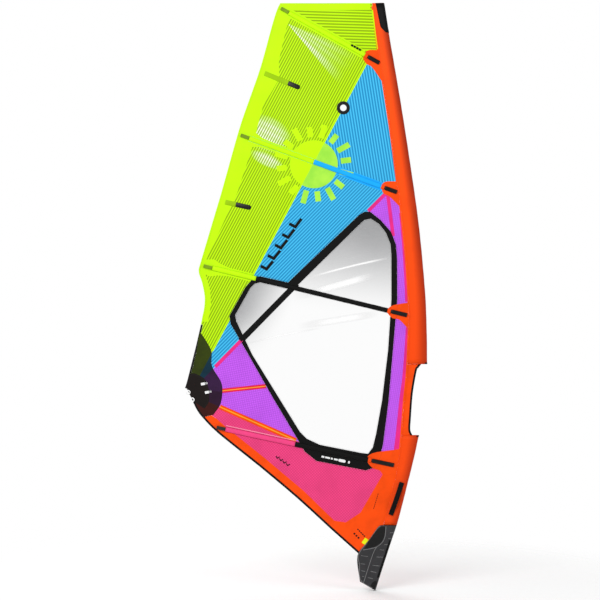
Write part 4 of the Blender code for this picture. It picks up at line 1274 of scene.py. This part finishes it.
class SAIL_OT_trim(SailStep, bpy.types.Operator):
    """Head patch, trim ring, yellow tab and plain printed shapes"""
    bl_idname = "sail.trim"
    bl_label = "Trim and prints"

    def execute(self, context):
        self.head()
        self.ring()
        self.prints()
        return {"FINISHED"}

    @staticmethod
    def head():
        """Black patch round the sleeve head, and the cup inside it."""
        bm, rows = bmesh.new(), []
        for z, share in ((3.869, 0.36), (3.820, 0.42), (3.770, 0.47), (3.720, 0.52), (3.702, 0.55),
                         (3.690, 0.66), (3.676, 0.82), (3.662, 0.99)):
            ring = sleeve_ring(z, 0.0016)
            rear = ring[0].lerp(ring[3], share)
            rows.append([rear.lerp(ring[3], t / 4) for t in range(4)] + ring[3:len(ring) // 2 + 1])
        loft(bm, rows, closed=False)
        piece = to_piece(bm, "head_reinforcement", "black")
        wall(piece, 0.0009, 0.0)
        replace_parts(piece, "head_patch")
        paint("mast_tip_cup", "cap")

    @staticmethod
    def ring():
        """Dark ring with a white middle."""
        profile = [(0.0225, -0.0013), (0.0228, -0.0020), (0.0250, -0.0024), (0.0440, -0.0024),
                   (0.0458, -0.0020), (0.0460, -0.0013)]
        lathe("ring", "cap", RING, profile, 48, "trim_ring")
        film("ring_middle", [circle(RING, 0.0240)], 0.0010, 0.0006, "white", (FRONT,), grid=False)

    @staticmethod
    def prints():
        """Plain generic shapes: a sun disc, slanted bars, dashes and squares."""
        shapes = [circle(SUN, SUN_RADIUS, 48)]
        for k in range(SUN_RAYS):
            angle = math.tau * k / SUN_RAYS + 0.12
            ray = Vector((math.cos(angle), math.sin(angle)))
            shapes.append(band([SUN + ray * 0.190, SUN + ray * (0.262 + 0.022 * (k % 2))], 0.040))
        film("sun_print", shapes, 0.0011, 0.0002, "emblem", (FRONT,), 0.03)
        for name, level, cell, width, count, foot, pitch, arms in BAR_PRINTS:
            bars = []
            for k in range(count):
                corner = Vector(foot) + Vector(pitch) * k
                bars.append(band([corner] + [corner + Vector(arm) for arm in arms], width))
            film(name, bars, level, 0.0002, "ink", (FRONT,), cell)
        blocks = [rectangle(BLOCK_LINE, 0.0205 * k, 0.016, -0.004, 0.011) for k in range(4)]
        film("block_print", blocks, 0.0136, 0.0003, "ink", (FRONT,), grid=False)
        dashes = [rectangle(DASH_LINE, start, width, -0.006, 0.006)
                  for start, width in ((0.0, 0.020), (0.026, 0.034), (0.066, 0.014), (0.088, 0.028))]
        pill = [(0.146 + 0.016 * end + 0.010 * math.cos(turn), 0.010 * math.sin(turn))
                for end in (-1, 1) for turn in [math.pi * (k / 8 - end / 2) for k in range(9)]]
        dashes += [local(*DASH_LINE, pill), rectangle(DASH_LINE, 0.190, 0.012, -0.008, 0.008)]
        film("window_band_print", dashes, 0.0013, 0.0002, "white", (FRONT,), grid=False)
        marks = [rectangle(line, pitch * k, width, -half, half)
                 for line, count, pitch, width, half in TACK_MARKS for k in range(count)]
        film("tack_marks", marks, 0.0008, 0.0002, "ink", (FRONT,), grid=False)
        film("yellow_tab", [rectangle(TAB_LINE, 0, 0.043, -0.0145, 0.0145)], 0.0009, 0.0008, "yellow",
             (FRONT,), grid=False)


# ------------------------------------------------------------------ handle, fairing and tack pulley

HANDLE = ((0.145, 0.517), (0.067, 0.290))
FAIRING = [((-0.038, -0.239), (-0.148, -0.178)), ((0.020, -0.055), (-0.165, 0.001)),
           ((0.070, 0.097), (-0.090, 0.106)), ((0.098, 0.180), (-0.023, 0.200)),
           ((0.110, 0.2165), (0.000, 0.2165))]
FAIRING_EDGES = [curve([pair[end] for pair in FAIRING], 6) for end in (0, 1)]
FAIRING_RADIUS, FAIRING_RIM, FAIRING_WALL = 0.026, 0.0043, 0.003


class SAIL_OT_handle(SailStep, bpy.types.Operator):
    """Webbing handle on the front of the lower sleeve"""
    bl_idname = "sail.handle"
    bl_label = "Handle"

    def execute(self, context):
        span = math.dist(*HANDLE)
        u, v = axes(*HANDLE)
        steps, half, rows = 32, 0.0168, []
        for k in range(steps + 1):
            out = 0.0224 + 0.019 * math.sin(math.pi * min(1.0, max(0.0, (k / steps * 12 - 1.5) / 9))) ** 0.7
            rows.append([spot(HANDLE[0], u, v, span * k / steps, half * math.cos(math.pi * j / 8),
                              out + 0.0006 * math.sin(math.pi * j / 8)) for j in range(9)])
        bm = bmesh.new()
        loft(bm, rows, closed=False)
        piece = to_piece(bm, "webbing_handle", "webbing")
        wall(piece, 0.0026, 0.0)
        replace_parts(piece, "sleeve_handle")
        bm = bmesh.new()
        for s in (0.010, 0.018, span - 0.018, span - 0.010):
            for j in range(6):
                add_stitch(bm, spot(HANDLE[0], u, v, s, -0.0125 + 0.005 * j, 0.0246),
                           Vector((v.x, 0, v.y)), Vector((0, 1, 0)), (0.0034, 0.0006, 0.0009))
        bmesh.ops.recalc_face_normals(bm, faces=bm.faces[:])
        to_piece(bm, "handle_stitches", "thread_dark", smooth=False)
        return {"FINISHED"}


def fairing_row(height):
    """Points of the luff edge and of the rear rim at a height from 0 to 1."""
    place = height * (len(FAIRING_EDGES[0]) - 1)
    k = min(int(place), len(FAIRING_EDGES[0]) - 2)
    return [edge[k].lerp(edge[k + 1], place - k) for edge in FAIRING_EDGES]


def fairing_surface(share, height, side):
    """Point on the fairing: share from the luff edge to the rear rim, height from 0 to 1."""
    front, rear = fairing_row(height)
    span = (rear - front).length
    d = span * share
    if d < FAIRING_RADIUS:
        y = math.sqrt(FAIRING_RADIUS ** 2 - (FAIRING_RADIUS - d) ** 2)
    else:
        y = FAIRING_RADIUS + (FAIRING_RIM - FAIRING_RADIUS) * (d - FAIRING_RADIUS) / (span - FAIRING_RADIUS)
    point = front.lerp(rear, share)
    return Vector((point.x, side * max(y, 0.0018), point.y))


def fairing_at(x, z, side, lift):
    """Point on the fairing's side over the place in the sail plane, lifted off its surface."""
    tries, place = [], Vector((x, z))
    for k in range(241):
        front, rear = fairing_row(k / 240)
        along = rear - front
        share = min(0.995, max(0.005, (place - front).dot(along) / along.length_squared))
        tries.append(((place - front.lerp(rear, share)).length, share, k / 240))
    _, share, height = min(tries)
    return fairing_surface(share, height, side) + Vector((0, side * lift, 0))


FAIRING_LINES = [
    [(0.034, 0.209), (0.031, 0.170), (0.024, 0.130), (0.004, 0.094), (-0.040, 0.062), (-0.125, 0.043)],
    [(-0.0300, 0.068), (-0.0525, 0.028), (-0.0830, -0.060), (-0.1230, -0.186)],
    [(-0.003, 0.211), (-0.027, 0.192), (-0.088, 0.109), (-0.157, 0.012), (-0.151, -0.060),
     (-0.142, -0.168), (-0.060, -0.222)],
]
FAIRING_TICKS = (
    ((0.060, 0.166), (0.104, 0.170)), ((0.050, 0.126), (0.068, 0.128)), ((0.020, 0.082), (0.044, 0.084)),
    ((-0.010, 0.047), (0.020, 0.045)), ((-0.032, -0.004), (0.012, -0.004)),
    ((-0.060, -0.062), (-0.012, -0.066)), ((-0.074, -0.104), (-0.034, -0.112)),
    ((-0.092, -0.148), (-0.058, -0.155)), ((-0.140, 0.004), (-0.092, -0.002)),
    ((-0.142, -0.052), (-0.112, -0.056)), ((-0.138, -0.102), (-0.112, -0.106)),
    ((-0.132, -0.140), (-0.118, -0.143)),
)
FAIRING_FIELD = [(0.030, 0.207), (0.027, 0.170), (0.020, 0.130), (0.001, 0.098), (-0.042, 0.067),
                 (-0.118, 0.050), (-0.085, 0.106), (-0.024, 0.188), (-0.001, 0.207)]
FAIRING_CORNER = [(-0.044, -0.226), (-0.030, -0.190), (-0.034, -0.172), (-0.058, -0.178), (-0.074, -0.205),
                  (-0.072, -0.216)]
STRAP_LINE = Vector((0.0685, 0.112)), Vector((-0.0165, -0.147))


def outward(piece, side):
    """Turn the skin's normals away from the sail plane."""
    if sum(p.normal.y * p.area for p in piece.data.polygons) * side < 0:
        piece.data.flip_normals()


class SAIL_OT_fairing(SailStep, bpy.types.Operator):
    """Ribbed tack fairing: the fixed shell behind and the flap that opens in front"""
    bl_idname = "sail.fairing"
    bl_label = "Tack fairing"

    def execute(self, context):
        for node, side, body in (("fairing_flap", FRONT, "fairing_cover"), ("fairing_shell", BACK, SAIL)):
            rows = [[fairing_surface((k / 20) ** 1.5, j / 40, side) for k in range(21)] for j in range(41)]
            bm = bmesh.new()
            loft(bm, rows, closed=False)
            piece = to_piece(bm, f"{node}_moulding", "fairing", body=body)
            outward(piece, side)
            wall(piece, FAIRING_WALL - 0.0006)
            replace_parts(piece, node)
            self.ribs(node, side, body)
            self.pads(node, side, body)
            if side == FRONT:
                self.strap()
        return {"FINISHED"}

    @staticmethod
    def ribs(node, side, body):
        """Raised grey ribs that follow the surface."""
        ticks = [[Vector(a).lerp(Vector(b), t / 6) for t in range(7)] for a, b in FAIRING_TICKS]
        bm = bmesh.new()
        for width, lines in ((0.0046, [curve(points, 6) for points in FAIRING_LINES]), (0.0034, ticks)):
            for line in lines:
                rows = []
                for a, b in zip(offset(line, width / 2), offset(line, -width / 2)):
                    section = ((a, -0.0004), (a.lerp(b, 0.2), 0.0013), (b.lerp(a, 0.2), 0.0013), (b, -0.0004))
                    rows.append([fairing_at(*place, side, lift) for place, lift in section])
                loft(bm, rows, closed=False)
        bmesh.ops.holes_fill(bm, edges=[e for e in bm.edges if e.is_boundary], sides=4)
        bmesh.ops.recalc_face_normals(bm, faces=bm.faces[:])
        outward(to_piece(bm, f"{node}_ribs", "fairing_rib", body=body, angle=50), side)

    @staticmethod
    def pads(node, side, body):
        """Black fields between the ribs."""
        bm = bmesh.new()
        for outline in (FAIRING_FIELD, curve(FAIRING_CORNER + FAIRING_CORNER[:1], 4)[:-1]):
            flat = bmesh.new()
            face_from(flat, outline)
            slice_grid(flat, 0.008)
            for v in flat.verts:
                v.co = fairing_at(v.co.x, v.co.z, side, 0.0007)
            merge_into(bm, flat)
        outward(to_piece(bm, f"{node}_pads", "pad", body=body), side)

    @staticmethod
    def strap():
        """Strap down the luff edge of the flap."""
        bm, rows = bmesh.new(), []
        for k in range(31):
            p = STRAP_LINE[0].lerp(STRAP_LINE[1], k / 30)
            wave = 0.0010 * math.sin(k * 1.3)
            rows.append([fairing_at(p.x + dx + wave, p.y, FRONT, lift)
                         for dx, lift in ((-0.013, -0.0003), (-0.012, 0.0016), (-0.004, 0.0018),
                                          (0.004, 0.0018))])
        loft(bm, rows, closed=False)
        bmesh.ops.recalc_face_normals(bm, faces=bm.faces[:])
        outward(to_piece(bm, "fairing_strap", "webbing", body="fairing_cover"), FRONT)


class SAIL_OT_pulley(SailStep, bpy.types.Operator):
    """Tack pulley with its webbing, frame, pin and sheaves"""
    bl_idname = "sail.pulley"
    bl_label = "Tack pulley"

    def execute(self, context):
        for finish, nodes in (("steel", ("pulley_frame", "pulley_pin")), ("webbing", ("tack_webbing",)),
                              ("nylon", ("sheave_1", "sheave_2", "sheave_3"))):
            for node in nodes:
                paint(node, finish)
        return {"FINISHED"}


class SAIL_PT_panel(bpy.types.Panel):
    """Every step of the sail with its sizes and colours"""
    bl_idname = "SAIL_PT_panel"
    bl_label = "Wave windsurf sail"
    bl_space_type = "VIEW_3D"
    bl_region_type = "UI"
    bl_category = "Sail"

    def draw(self, context):
        layout = self.layout
        for step_class in STEPS:
            layout.operator(step_class.bl_idname)
        for group in (context.scene.sail_sizes, context.scene.sail_colours):
            box = layout.box()
            for name in group.__annotations__:
                box.prop(group, name)


STEPS = (SAIL_OT_panels, SAIL_OT_window, SAIL_OT_reinforcements, SAIL_OT_seam_tapes, SAIL_OT_luff_patches,
         SAIL_OT_sleeve, SAIL_OT_bindings, SAIL_OT_clew, SAIL_OT_pockets, SAIL_OT_batten_fittings,
         SAIL_OT_trim, SAIL_OT_handle, SAIL_OT_fairing, SAIL_OT_pulley, SAIL_OT_stage)
CLASSES = (SailColours, SailSizes) + STEPS + (SAIL_PT_panel,)


def register():
    """Add the sail's properties, steps and panel to Blender."""
    for cls in CLASSES:
        bpy.utils.register_class(cls)
    bpy.types.Scene.sail_colours = bpy.props.PointerProperty(type=SailColours)
    bpy.types.Scene.sail_sizes = bpy.props.PointerProperty(type=SailSizes)


def unregister():
    """Take them away again."""
    del bpy.types.Scene.sail_colours
    del bpy.types.Scene.sail_sizes
    for cls in reversed(CLASSES):
        bpy.utils.unregister_class(cls)


def main():
    """Run every step in order."""
    register()
    for step_class in STEPS:
        group, name = step_class.bl_idname.split(".")
        getattr(getattr(bpy.ops, group), name)()


if __name__ == "__main__":
    main()
